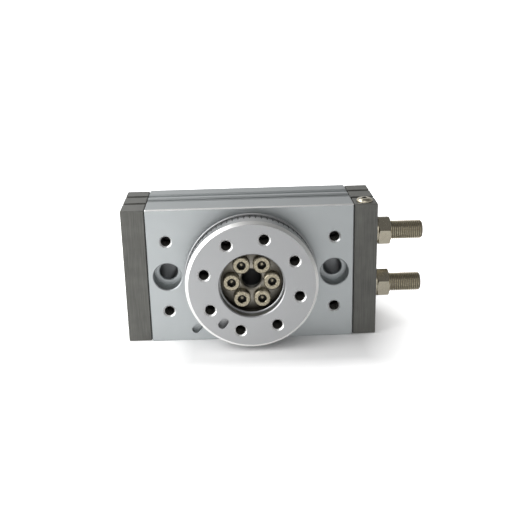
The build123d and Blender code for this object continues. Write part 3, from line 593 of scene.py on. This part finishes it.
def wire(name, points):
    """A line in the XZ plane through (radius, height) pairs, drawn by extruding one vertex."""
    deselect()
    bpy.ops.mesh.primitive_plane_add(size=MM, location=(0, 0, 0))
    line = bpy.context.object
    line.name = name
    edit(line)
    bpy.ops.mesh.merge(type="CENTER")
    here = Vector((0.0, 0.0, 0.0))
    for step, (radius, height) in enumerate(points):
        there = Vector((radius, 0.0, height))
        if step:
            bpy.ops.mesh.extrude_vertices_move(TRANSFORM_OT_translate={"value": there - here})
        else:
            bpy.ops.transform.translate(value=there - here)
        here = there
    close_edit()
    return line


def lathe(name, points, segments):
    """A solid turned about Z from a line that starts and ends on the axis, or that ends where it began."""
    piece = wire(name, points)
    finish_modifier(piece, "SCREW", axis="Z", angle=tau, steps=segments, render_steps=segments,
                    use_merge_vertices=True, merge_threshold=MERGE_GAP)
    return tidy_mesh(piece)


def rod(name, radius, low, high, segments):
    """A plain round or six-sided bar along Z, to cut with."""
    return lathe(name, [(0.0, low), (radius, low), (radius, high), (0.0, high)], segments)


def hexagon(name, across_flats, low, high):
    """A six-sided bar along Z, with a corner towards X."""
    return rod(name, across_flats / sqrt(3), low, high, 6)


def trim(piece, height, outward):
    """Cut a piece off flat at a height and close the cut."""
    edit(piece)
    bpy.ops.mesh.bisect(plane_co=(0, 0, height), plane_no=(0, 0, outward), clear_outer=True, use_fill=True,
                        threshold=0.0001 * MM)
    close_edit()


def threaded(name, crest_radius, pitch, length, segments):
    """A thread along Z from 0 to length: one V, screwed up a helix and cut flat at both ends."""
    root_radius = crest_radius - 0.6134 * pitch
    profile = [
        (root_radius, -0.5), (root_radius, -0.375), (crest_radius, -0.0625),
        (crest_radius, 0.0625), (root_radius, 0.375), (root_radius, 0.5),
    ]
    thread = wire(name, [(radius, (height - 1.5) * pitch) for radius, height in profile])
    finish_modifier(thread, "SCREW", axis="Z", angle=tau, screw_offset=pitch,
                    iterations=int(length / pitch) + 3, steps=segments, render_steps=segments,
                    use_merge_vertices=True, merge_threshold=MERGE_GAP)
    tidy_mesh(thread)
    trim(thread, 0.0, -1.0)
    trim(thread, length, 1.0)
    return tidy_mesh(thread)


def coat(piece, slot, deeper=None, height=0.0):
    """Cover a piece with one finish, and with another one below a height where that is asked for."""
    piece.data.materials.clear()
    piece.data.materials.append(finish_for(slot))
    if deeper:
        piece.data.materials.append(finish_for(deeper))
        for face in piece.data.polygons:
            face.material_index = int(face.center.z < height)
    return piece


def dress(piece, slot, body, *replaced):
    """The slot is not used. Let a finished piece ride on a body, and let it stand for CAD nodes."""
    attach(piece, body)
    if replaced:
        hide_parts(*replaced)
    return piece


def body_of_node(node):
    """The name of the body that a CAD node belongs to."""
    return NODES[node]["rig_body"]


def middle(node):
    """The middle of a CAD node's box."""
    low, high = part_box(node)
    return (low + high) / 2


# Pieces, one operator for each group

class ACTUATOR_OT_finishes(Operator):
    """Give every node of the model its finish"""
    bl_idname = "actuator.finishes"
    bl_label = "Finishes"

    def execute(self, context):
        finishes = make_finishes(context.scene.actuator_colours)
        slots = {part["node"]: part["material_slot"] for part in frame["record"]["subparts"]}
        for name, node in NODES.items():
            node.data.materials.clear()
            node.data.materials.append(finishes[slots[name]])
        return {"FINISHED"}


class ACTUATOR_OT_table(Operator):
    """Turn the table, cut its holes and threads, and engrave the graduation in its side"""
    bl_idname = "actuator.table"
    bl_label = "Table"

    def execute(self, context):
        sizes = context.scene.actuator_sizes
        bevel = 0.2 * MM
        front = -TABLE_FRONT
        rear = front - TABLE_THICKNESS
        flange_rear = rear + 3.2 * MM
        flange_front = flange_rear + 1.4 * MM
        line_end = flange_front + 0.6 * MM
        engraved = SIDE_RADIUS - sizes.mark_depth
        ledge = front - RECESS_DEPTH
        web_rear = rear + 0.7 * MM
        web_front = web_rear + 4.8 * MM
        boss_end = front - TABLE_DEPTH
        table = lathe("graduated_table", [
            (BOSS_RADIUS, boss_end), (BOSS_RADIUS, rear),
            (REAR_RADIUS - bevel, rear), (REAR_RADIUS, rear + bevel), (REAR_RADIUS, flange_rear),
            (FLANGE_RADIUS, flange_rear), (FLANGE_RADIUS, flange_front - bevel),
            (FLANGE_RADIUS - bevel, flange_front), (engraved, flange_front), (engraved, line_end),
            (SIDE_RADIUS, line_end), (SIDE_RADIUS, front - EDGE_WIDTH), (SIDE_RADIUS - EDGE_WIDTH, front),
            (RECESS_RADIUS + 0.5 * MM, front), (RECESS_RADIUS, front - 0.5 * MM), (RECESS_RADIUS, ledge),
            (WELL_RADIUS + 0.3 * MM, ledge), (WELL_RADIUS, ledge - 0.3 * MM), (WELL_RADIUS, web_front),
            (BORE_RADIUS + 0.7 * MM, web_front), (BORE_RADIUS, web_front - 0.7 * MM),
            (BORE_RADIUS, web_rear), (SPIGOT_RADIUS, web_rear), (SPIGOT_RADIUS, boss_end),
            (BOSS_RADIUS, boss_end),
        ], 360)
        coat(table, "table_aluminium")
        carve(table, self.marks(sizes, engraved - 0.01 * MM, line_end - 0.3 * MM))

        # Eight tapped holes and the pin slot on one circle of the front, and six screw holes in the web
        drills, taps = tapped_cutters("table_taps", [
            self.around(30.0 + 45.0 * step, TAPPED_CIRCLE, front) for step in range(8)
        ])
        pin_radius = 2.0 * MM
        pin_depth = 4.5 * MM
        slot = rod("slot", pin_radius, front - pin_depth, front + MM, 48)
        for side in (-1, 1):
            edit(slot, lambda co: co.x * side > 0.01 * MM)
            bpy.ops.transform.translate(value=(side * MM, 0, 0))
            close_edit()
        settle(slot, self.around(-127.5, TAPPED_CIRCLE, 0.0))
        screw_hole_radius = 2.75 * MM
        screw_hole = rod("screw_hole", screw_hole_radius, web_rear - MM, web_front + MM, 48)
        holes = [slot] + [
            copy_of(screw_hole, "hole", self.around(60.0 * step, SCREW_CIRCLE, 0.0)) for step in range(6)
        ]
        bpy.data.objects.remove(screw_hole)
        carve(table, join([drills] + [coat(hole, "table_aluminium") for hole in holes], "holes"))
        carve(table, taps)
        settle(table, TO_FRONT)
        smooth(table, 25.0)
        dress(table, "table_aluminium", body_of_node("rotary_table"), "rotary_table")
        return {"FINISHED"}

    def around(self, degrees, radius, height):
        """A place at an angle, a radius and a height."""
        return Matrix.Rotation(radians(degrees), 4, "Z") @ Matrix.Translation((radius, 0.0, height))

    def marks(self, sizes, depth_radius, start):
        """Blocks that cut the marks: one long and the short ones after it, repeated round the table."""
        blocks = []
        per_long = sizes.marks_per_long
        step = sizes.mark_step
        for width, length, index in ((0.6 * MM, 4.6 * MM, 0), (0.36 * MM, 3.0 * MM, 1)):
            deselect()
            bpy.ops.mesh.primitive_cube_add(size=1.0)
            block = bpy.context.object
            block.scale = (MM, width, length)
            block.location = (depth_radius + 0.5 * MM, 0.0, start + length / 2)
            settle(block)
            settle(block, Matrix.Rotation(-index * step, 4, "Z"))
            blocks.append(block)
        edit(blocks[1])
        bpy.ops.mesh.spin(steps=per_long - 2, dupli=True, angle=(per_long - 2) * step,
                          center=(0, 0, 0), axis=(0, 0, 1), use_auto_merge=False)
        close_edit()
        marks = join(blocks, "marks")
        groups = round(tau / (per_long * step))
        edit(marks)
        bpy.ops.mesh.spin(steps=groups - 1, dupli=True, angle=(groups - 1) * per_long * step,
                          center=(0, 0, 0), axis=(0, 0, 1), use_auto_merge=False)
        bpy.ops.mesh.select_all(action="SELECT")
        bpy.ops.mesh.normals_make_consistent(inside=False)
        close_edit()
        first_mark = radians(0.4)
        return settle(marks, Matrix.Rotation(first_mark, 4, "Z"))


def tapped_cutters(name, places):
    """Cutters for tapped holes: drills that cut the mouths bright, and taps that leave a thread painted
    nearly black as the shade in the hole.
    """
    pitch = bpy.context.scene.actuator_sizes.hole_pitch
    drill = lathe("drill", [
        (0.0, -TAP_DEPTH - 0.5 * MM), (TAP_DRILL, -TAP_DEPTH), (TAP_DRILL, -TAP_EDGE),
        (TAP_DRILL + TAP_EDGE + 0.5 * MM, 0.5 * MM), (0.0, 0.5 * MM),
    ], 48)
    coat(drill, "bare", "hollow_shade", -TAP_EDGE)
    tap = threaded("tap", TAP_CREST, pitch, TAP_THREAD, 32)
    settle(tap, Matrix.Translation((0.0, 0.0, -TAP_EDGE - 0.2 * MM - TAP_THREAD)))
    coat(tap, "hollow_shade")
    sets = []
    for template in (drill, tap):
        copies = [copy_of(template, f"{name}_{index}", spot) for index, spot in enumerate(places)]
        sets.append(join(copies, name))
        bpy.data.objects.remove(template)
    return sets


class ACTUATOR_OT_body(Operator):
    """Thread the four tapped holes in the front of the body and finish the counterbores"""
    bl_idname = "actuator.body"
    bl_label = "Body"

    def execute(self, context):
        body = merged_copy("body_block", "machined_body")
        drills, taps = tapped_cutters("body_taps", [
            Matrix.Translation((x, BODY_FRONT, z)) @ TO_FRONT
            for x in (-BODY_HOLE_X, BODY_HOLE_X) for z in (-BODY_TAPPED_Z, BODY_TAPPED_Z)
        ])
        carve(body, drills)
        carve(body, taps)

        # Both counterbores: a cut mouth, a rounded edge at the foot, and under it the rough drilled bore.
        # Below the edge the bore is painted darker, as shade.
        counterbore_shade_below = -9.45 * MM
        profile_mm = [
            (0.0, -41.0), (4.31, -41.0), (4.31, -9.4), (4.55, -8.9), (4.9, -8.6), (5.4, -8.45), (5.4, -7.0),
            (6.9, -0.5), (7.5, 0.1), (7.5, 0.5), (0.0, 0.5),
        ]
        edge = lathe("counterbore_edges", [(radius * MM, height * MM) for radius, height in profile_mm], 96)
        coat(edge, "body_aluminium", "deep_bore_shade", counterbore_shade_below)
        edges = [
            copy_of(edge, "edges", Matrix.Translation((x, BODY_FRONT, 0.0)) @ TO_FRONT)
            for x in (-BODY_HOLE_X, BODY_HOLE_X)
        ]
        bpy.data.objects.remove(edge)
        carve(body, join(edges, "edges"))
        smooth(body, 25.0)
        dress(body, "body_aluminium", body_of_node("body_block"), "body_block")
        return {"FINISHED"}


def cap_screw(sizes):
    """An M5 cap screw that stands on its seat at zero: knurled head, hexagon socket and threaded shank."""
    top = HEAD_HEIGHT
    head = lathe("cap_screw", [
        (0.0, 0.0), (HEAD_RADIUS - 0.2 * MM, 0.0), (HEAD_RADIUS, 0.2 * MM), (HEAD_RADIUS, 0.45 * MM),
        (HEAD_RADIUS, 0.6 * MM), (HEAD_RADIUS, top - 0.75 * MM), (HEAD_RADIUS, top - 0.6 * MM),
        (HEAD_RADIUS, top - 0.45 * MM), (HEAD_RADIUS - 0.45 * MM, top), (0.0, top),
    ], 2 * sizes.knurl_teeth)
    slice_angle = tau / (2 * sizes.knurl_teeth)

    def on_groove(co):
        turn = round(atan2(co.y, co.x) / slice_angle)
        on_side = hypot(co.x, co.y) > HEAD_RADIUS - 0.01 * MM
        return turn % 2 == 1 and on_side and 0.5 * MM < co.z < top - 0.7 * MM

    groove_scale = 0.93
    edit(head, on_groove)
    bpy.ops.transform.resize(value=(groove_scale, groove_scale, 1.0), center_override=(0, 0, 0))
    close_edit()
    floor_level = top - SCREW_SOCKET_DEPTH
    coat(head, "screw_steel")
    # The socket is painted nearly black as its shade
    carve(head, coat(hexagon("socket", SCREW_SOCKET, floor_level, top + MM), "hollow_shade"))
    carve(head, coat(lathe("drill_point", [
        (0.0, floor_level - 0.6 * MM), (0.9 * MM, floor_level + 0.05 * MM), (0.0, floor_level + 0.05 * MM),
    ], 32), "screw_steel"))
    carve(head, coat(lathe("mouth", [
        (0.0, top - 0.3 * MM), (1.95 * MM, top - 0.3 * MM),
        (2.75 * MM, top + 0.5 * MM), (0.0, top + 0.5 * MM),
    ], 48), "screw_steel"))
    shank = threaded("shank", SHANK_RADIUS, sizes.screw_pitch, SHANK_LENGTH + 0.3 * MM, 24)
    settle(shank, Matrix.Translation((0.0, 0.0, -SHANK_LENGTH)))
    blank_radius = SHANK_RADIUS + 0.02 * MM
    carve(shank, lathe("point", [
        (0.0, -SHANK_LENGTH - 0.1 * MM), (SHANK_RADIUS - 0.6 * MM, -SHANK_LENGTH - 0.1 * MM),
        (blank_radius, 0.5 * MM - SHANK_LENGTH), (blank_radius, 0.4 * MM), (0.0, 0.4 * MM),
    ], 48), "INTERSECT")
    return carve(head, coat(shank, "screw_steel"), "UNION")


class ACTUATOR_OT_cap_screws(Operator):
    """Make one knurled cap screw, and set copies of it in the table and in both covers"""
    bl_idname = "actuator.cap_screws"
    bl_label = "Cap screws"

    def execute(self, context):
        screw = cap_screw(context.scene.actuator_sizes)
        smooth(screw, 35.0)
        low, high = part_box("table_screws")
        circle = (high.x - low.x) / 2 - HEAD_RADIUS
        seat = low.y + HEAD_HEIGHT
        socket_turns = (12.0, 47.0, 5.0, 31.0, 22.0, 54.0)
        for index, turn in enumerate(socket_turns):
            spot = (Matrix.Rotation(radians(60.0 * index), 4, "Z")
                    @ Matrix.Translation((circle, 0.0, -seat)) @ Matrix.Rotation(radians(turn), 4, "Z"))
            piece = copy_of(screw, f"table_screw_{index + 1}", TO_FRONT @ spot)
            dress(piece, "screw_steel", body_of_node("table_screws"), "table_screws")
        for end, facing_out, side in (("left", TO_LEFT, -1), ("right", TO_RIGHT, 1)):
            node = f"{end}_cover_screws"
            low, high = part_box(node)
            seat = (high.x if side > 0 else low.x) - side * HEAD_HEIGHT
            places = [
                (seat, y, z) for y in (low.y + HEAD_RADIUS, high.y - HEAD_RADIUS)
                for z in (low.z + HEAD_RADIUS, high.z - HEAD_RADIUS)
            ]
            for index, (spot, turn) in enumerate(zip(places, socket_turns)):
                place_at = Matrix.Translation(spot) @ facing_out @ Matrix.Rotation(radians(turn), 4, "Z")
                piece = copy_of(screw, f"{end}_cover_screw_{index + 1}", place_at)
                dress(piece, "screw_steel", body_of_node(node), node)
        bpy.data.objects.remove(screw)
        return {"FINISHED"}


class ACTUATOR_OT_adjusting_bolts(Operator):
    """Cut the fine thread, the chamfered ends and the hexagon socket of both adjusting bolts"""
    bl_idname = "actuator.adjusting_bolts"
    bl_label = "Adjusting bolts"

    def execute(self, context):
        pitch = context.scene.actuator_sizes.bolt_pitch
        low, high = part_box("upper_adjusting_bolt")
        crest = (high.y - low.y) / 2
        length = high.x - low.x
        edge = 0.9 * MM
        beyond = 0.02 * MM
        pad_radius = 3.55 * MM
        pad_depth = 3.2 * MM
        socket_flats = 5.0 * MM
        socket_depth = 6.0 * MM
        bolt = threaded("adjusting_bolt", crest, pitch, length, 48)
        carve(bolt, lathe("blank", [
            (0.0, -beyond), (crest - 0.5 * edge, -beyond), (crest + beyond, 0.5 * edge),
            (crest + beyond, length - edge), (crest - edge, length + beyond), (0.0, length + beyond),
        ], 96), "INTERSECT")
        coat(bolt, "thread")
        carve(bolt, coat(rod("pad_seat", pad_radius, -MM, pad_depth, 48), "plated_steel"))
        # The socket is painted nearly black as its shade
        carve(bolt, coat(hexagon("socket", socket_flats, length - socket_depth, length + MM), "hollow_shade"))
        carve(bolt, coat(lathe("mouth", [
            (0.0, length - 0.4 * MM), (2.45 * MM, length - 0.4 * MM), (3.35 * MM, length + 0.5 * MM),
            (0.0, length + 0.5 * MM),
        ], 48), "plated_steel"))
        smooth(bolt, 25.0)
        for side in SIDES:
            node = f"{side}_adjusting_bolt"
            low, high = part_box(node)
            spot = Matrix.Translation((low.x, (low.y + high.y) / 2, (low.z + high.z) / 2))
            piece = copy_of(bolt, f"{side}_threaded_bolt", spot @ TO_RIGHT)
            dress(piece, "plated_steel", body_of_node(node), node)
        bpy.data.objects.remove(bolt)
        return {"FINISHED"}


class ACTUATOR_OT_lock_nuts(Operator):
    """Make the hexagon lock nuts, with a washer face, rounded corners and a thread that fits the bolt"""
    bl_idname = "actuator.lock_nuts"
    bl_label = "Lock nuts"

    def execute(self, context):
        pitch = context.scene.actuator_sizes.bolt_pitch
        across_flats = 14.0 * MM
        face = 0.8 * MM
        face_radius = 6.6 * MM
        tap_radius = 5.06 * MM
        low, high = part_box("upper_lock_nut")
        height = high.x - low.x
        past_corner = across_flats / sqrt(3) + 0.1 * MM
        nut = hexagon("lock_nut", across_flats, face, height)
        carve(nut, lathe("corners", [
            (0.0, -0.1 * MM), (6.95 * MM, face - 0.02 * MM), (past_corner, face + 0.62 * MM),
            (past_corner, height - 0.62 * MM), (6.9 * MM, height + 0.01 * MM), (0.0, height + 0.01 * MM),
        ], 96), "INTERSECT")
        carve(nut, rod("washer_face", face_radius, 0.0, face + 0.2 * MM, 96), "UNION")
        turns = {"upper": 256.4, "lower": 248.2}
        for side in SIDES:
            node = f"{side}_lock_nut"
            low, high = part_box(node)
            bolt_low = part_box(f"{side}_adjusting_bolt")[0]
            piece = copy_of(nut, f"{side}_hexagon_nut", Matrix.Rotation(radians(turns[side]), 4, "Z"))
            tap = threaded("tap", tap_radius, pitch, height + 4.0 * MM, 48)
            phase = (low.x - bolt_low.x) % pitch
            settle(tap, Matrix.Translation((0.0, 0.0, -phase - pitch)))
            carve(piece, tap)
            for end, mouth in ((0.0, -1), (height, 1)):
                carve(piece, lathe("mouth", [
                    (0.0, end - mouth * 0.8 * MM), (4.6 * MM, end - mouth * 0.8 * MM),
                    (5.6 * MM, end + mouth * 0.2 * MM), (0.0, end + mouth * 0.2 * MM),
                ], 64))
            seat = Vector((low.x, (low.y + high.y) / 2, middle(f"{side}_adjusting_bolt").z))
            settle(piece, Matrix.Translation(seat) @ TO_RIGHT)
            smooth(coat(piece, "plated_steel"), 25.0)
            dress(piece, "plated_steel", body_of_node(node), node)
        bpy.data.objects.remove(nut)
        return {"FINISHED"}


class ACTUATOR_OT_port_plug(Operator):
    """Make the button-headed plug on top of the right cover"""
    bl_idname = "actuator.port_plug"
    bl_label = "Port plug"

    def execute(self, context):
        node = "top_port_plug"
        low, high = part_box(node)
        head_radius = (high.x - low.x) / 2
        head_height = 2.0 * MM
        seat = high.z - head_height
        plug = lathe("button_plug", [
            (0.0, -5.0 * MM), (1.7 * MM, -5.0 * MM), (2.07 * MM, -4.6 * MM), (2.07 * MM, 0.0),
            (head_radius - 0.15 * MM, 0.0), (head_radius, 0.15 * MM), (head_radius, 0.75 * MM),
            (head_radius - 0.12 * MM, 1.1 * MM), (head_radius - 0.45 * MM, 1.45 * MM),
            (head_radius - 0.95 * MM, 1.73 * MM), (head_radius - 1.6 * MM, 1.92 * MM),
            (head_radius - 2.2 * MM, head_height), (0.0, head_height),
        ], 72)
        coat(plug, "plated_steel")
        # The socket is painted nearly black as its shade
        carve(plug, coat(hexagon("socket", 2.5 * MM, 0.6 * MM, 3.0 * MM), "hollow_shade"))
        mouth_mm = ((0.0, 1.8), (1.2, 1.8), (1.9, 2.5), (0.0, 2.5))
        mouth = lathe("mouth", [(radius * MM, height * MM) for radius, height in mouth_mm], 48)
        carve(plug, coat(mouth, "plated_steel"))
        centre = middle(node)
        turn = Matrix.Rotation(radians(20.0), 4, "Z")
        settle(plug, Matrix.Translation((centre.x, centre.y, seat)) @ turn)
        smooth(plug, 35.0)
        dress(plug, "plated_steel", body_of_node(node), node)
        return {"FINISHED"}


class ACTUATOR_OT_stage(Operator):
    """Lay the floor, hang the lamps and set the camera"""
    bl_idname = "actuator.stage"
    bl_label = "Stage"

    def execute(self, context):
        scene = context.scene
        colours = scene.actuator_colours
        self.lay_floor()
        self.light_room(scene)
        for name, spot, size, power in (
            ("key lamp", (-0.43, -0.15, 0.24), 0.55, colours.key_power),
            ("top lamp", (-0.22, 0.26, 0.6), 0.3, colours.top_power),
            ("front lamp", (0.0, -0.62, 0.46), 0.4, colours.front_power),
        ):
            self.hang_lamp(name, Vector(spot), size, power)
        self.set_camera(scene)
        scene.view_settings.view_transform = "Standard"
        return {"FINISHED"}

    def lay_floor(self):
        """A wide sheet under the body's bottom."""
        deselect()
        bpy.ops.mesh.primitive_circle_add(vertices=96, radius=30.0, fill_type="NGON",
                                          location=(0, 0, FLOOR_LEVEL - 0.02 * MM))
        floor_piece = bpy.context.object
        floor_piece.name = "floor"
        settle(floor_piece)
        # White paper: a matt surface that keeps the shadow near the object and, further out, glows white for
        # what looks straight at it, painted light over the lamp's shadow; for metal that mirrors it, it
        # glows more on the lamp's side, a painted reflection
        material = bpy.data.materials.new("white paper")
        material.use_nodes = True
        tree = material.node_tree
        tree.nodes.clear()
        shadow_x = (-30.0 * MM, 55.0 * MM)
        shadow_y = (-66.0 * MM, 5.0 * MM)
        x, y, _ = coordinates(tree)
        away = distance(tree, self.outside(tree, x, *shadow_x), self.outside(tree, y, *shadow_y))
        # Painted light: further out the paper glows white for the camera, over the lamp's shadow
        lifted = add_node(tree, "ShaderNodeMapRange", (), (away, 0.0, 50.0 * MM, 0.0, 1.0))
        # Painted reflection: the paper glows for mirrors, most on the left
        mirrored = add_node(tree, "ShaderNodeMapRange", (), (x, -100.0 * MM, 100.0 * MM, 0.5, 0.0))
        glow = add_node(tree, "ShaderNodeEmission", (), {
            "Strength": self.by_ray(tree, lifted.outputs[0], mirrored.outputs[0], 0.0),
        })
        matt = add_node(tree, "ShaderNodeBsdfDiffuse", (), {"Color": (0.9, 0.9, 0.9, 1.0)})
        both = add_node(tree, "ShaderNodeAddShader", (), (matt.outputs[0], glow.outputs[0]))
        add_node(tree, "ShaderNodeOutputMaterial", (), {"Surface": both.outputs[0]})
        floor_piece.data.materials.append(material)

    def light_room(self, scene):
        """The light that comes from all round."""
        # A pale room, brighter on the left and with a dark ceiling: what looks straight at it sees white,
        # polished steel shows the room, and an even light falls on the rest
        world = bpy.data.worlds.new("pale room")
        scene.world = world
        world.use_nodes = True
        tree = world.node_tree
        tree.nodes.clear()
        x, _, z = coordinates(tree, "Generated")
        across = add_node(tree, "ShaderNodeMapRange", (), (x, -1.0, 1.0, 1.3, 0.28)).outputs[0]
        ceiling = add_node(tree, "ShaderNodeMapRange", (), (z, 0.35, 0.8, 1.0, 0.28)).outputs[0]
        room = add_node(tree, "ShaderNodeMath", {"operation": "MULTIPLY"}, (across, ceiling)).outputs[0]
        light = self.by_ray(tree, 1.0, room, 0.45)
        sky = add_node(tree, "ShaderNodeBackground", (), {"Color": (1.0, 1.0, 1.0, 1.0), "Strength": light})
        add_node(tree, "ShaderNodeOutputWorld", (), {"Surface": sky.outputs[0]})

    def outside(self, tree, value, low, high):
        """How far a value is outside a range, and zero inside it."""
        centre = (low + high) / 2
        half = (high - low) / 2
        away = add_node(tree, "ShaderNodeMath", {"operation": "SUBTRACT"}, (value, centre)).outputs[0]
        far = add_node(tree, "ShaderNodeMath", {"operation": "ABSOLUTE"}, (away,)).outputs[0]
        past = add_node(tree, "ShaderNodeMath", {"operation": "SUBTRACT"}, (far, half)).outputs[0]
        return add_node(tree, "ShaderNodeMath", {"operation": "MAXIMUM"}, (past, 0.0)).outputs[0]

    def by_ray(self, tree, seen, mirrored, spread):
        """One strength for what looks straight or through glass, one for mirrors, and one for the rest."""
        rays = add_node(tree, "ShaderNodeLightPath").outputs
        shown = add_node(tree, "ShaderNodeMath", {"operation": "MAXIMUM"},
                         (rays["Is Camera Ray"], rays["Is Transmission Ray"])).outputs[0]
        unseen = add_node(tree, "ShaderNodeMix", {"data_type": "FLOAT"},
                          {"Factor": rays["Is Glossy Ray"], "A": spread, "B": mirrored}).outputs[0]
        return add_node(tree, "ShaderNodeMix", {"data_type": "FLOAT"},
                        {"Factor": shown, "A": unseen, "B": seen}).outputs[0]

    def hang_lamp(self, name, spot, size, power):
        """A square lamp that shines on the middle of the object."""
        data = bpy.data.lights.new(name, "AREA")
        data.shape = "SQUARE"
        data.size = size
        data.energy = power
        lamp = bpy.data.objects.new(name, data)
        bpy.context.scene.collection.objects.link(lamp)
        lamp.location = spot
        aim = Vector((0.0, -0.03, 0.0))
        lamp.rotation_euler = (aim - spot).to_track_quat("-Z", "Y").to_euler()

    def set_camera(self, scene):
        """The camera of the photograph, as fitted to it."""
        data = bpy.data.cameras.new("camera")
        camera = bpy.data.objects.new("camera", data)
        scene.collection.objects.link(camera)
        scene.camera = camera
        data.sensor_width = 36.0
        data.lens = 58.6
        data.clip_start = 0.01
        data.clip_end = 100.0
        camera.location = (-7.95 * MM, -440.77 * MM, 144.26 * MM)
        aim = Vector((4.59 * MM, -40.0 * MM, 7.46 * MM))
        look = (aim - camera.location).to_track_quat("-Z", "Y")
        roll = Matrix.Rotation(radians(-1.29), 3, "Z").to_quaternion()
        camera.rotation_mode = "QUATERNION"
        camera.rotation_quaternion = look @ roll


class ACTUATOR_PT_panel(Panel):
    """The steps of the dressing, with the sizes and colours that they use"""
    bl_idname = "ACTUATOR_PT_panel"
    bl_label = "Rotary Actuator"
    bl_space_type = "VIEW_3D"
    bl_region_type = "UI"
    bl_category = "Actuator"

    def draw(self, context):
        layout = self.layout
        for group in (context.scene.actuator_sizes, context.scene.actuator_colours):
            for name in group.__annotations__:
                layout.prop(group, name)
        for step in STEPS:
            layout.operator(step.bl_idname)


GROUPS = (ActuatorSizes, ActuatorColours)
STEPS = (
    ACTUATOR_OT_finishes, ACTUATOR_OT_table, ACTUATOR_OT_body, ACTUATOR_OT_cap_screws,
    ACTUATOR_OT_adjusting_bolts, ACTUATOR_OT_lock_nuts, ACTUATOR_OT_port_plug, ACTUATOR_OT_stage,
)


def register():
    for entry in (*GROUPS, *STEPS, ACTUATOR_PT_panel):
        bpy.utils.register_class(entry)
    bpy.types.Scene.actuator_sizes = PointerProperty(type=ActuatorSizes)
    bpy.types.Scene.actuator_colours = PointerProperty(type=ActuatorColours)


def unregister():
    del bpy.types.Scene.actuator_colours
    del bpy.types.Scene.actuator_sizes
    for entry in reversed((*GROUPS, *STEPS, ACTUATOR_PT_panel)):
        bpy.utils.unregister_class(entry)


def main():
    register()
    bpy.ops.actuator.finishes()
    bpy.ops.actuator.table()
    bpy.ops.actuator.body()
    bpy.ops.actuator.cap_screws()
    bpy.ops.actuator.adjusting_bolts()
    bpy.ops.actuator.lock_nuts()
    bpy.ops.actuator.port_plug()
    bpy.ops.actuator.stage()
    deselect()


if __name__ == "__main__":
    main()
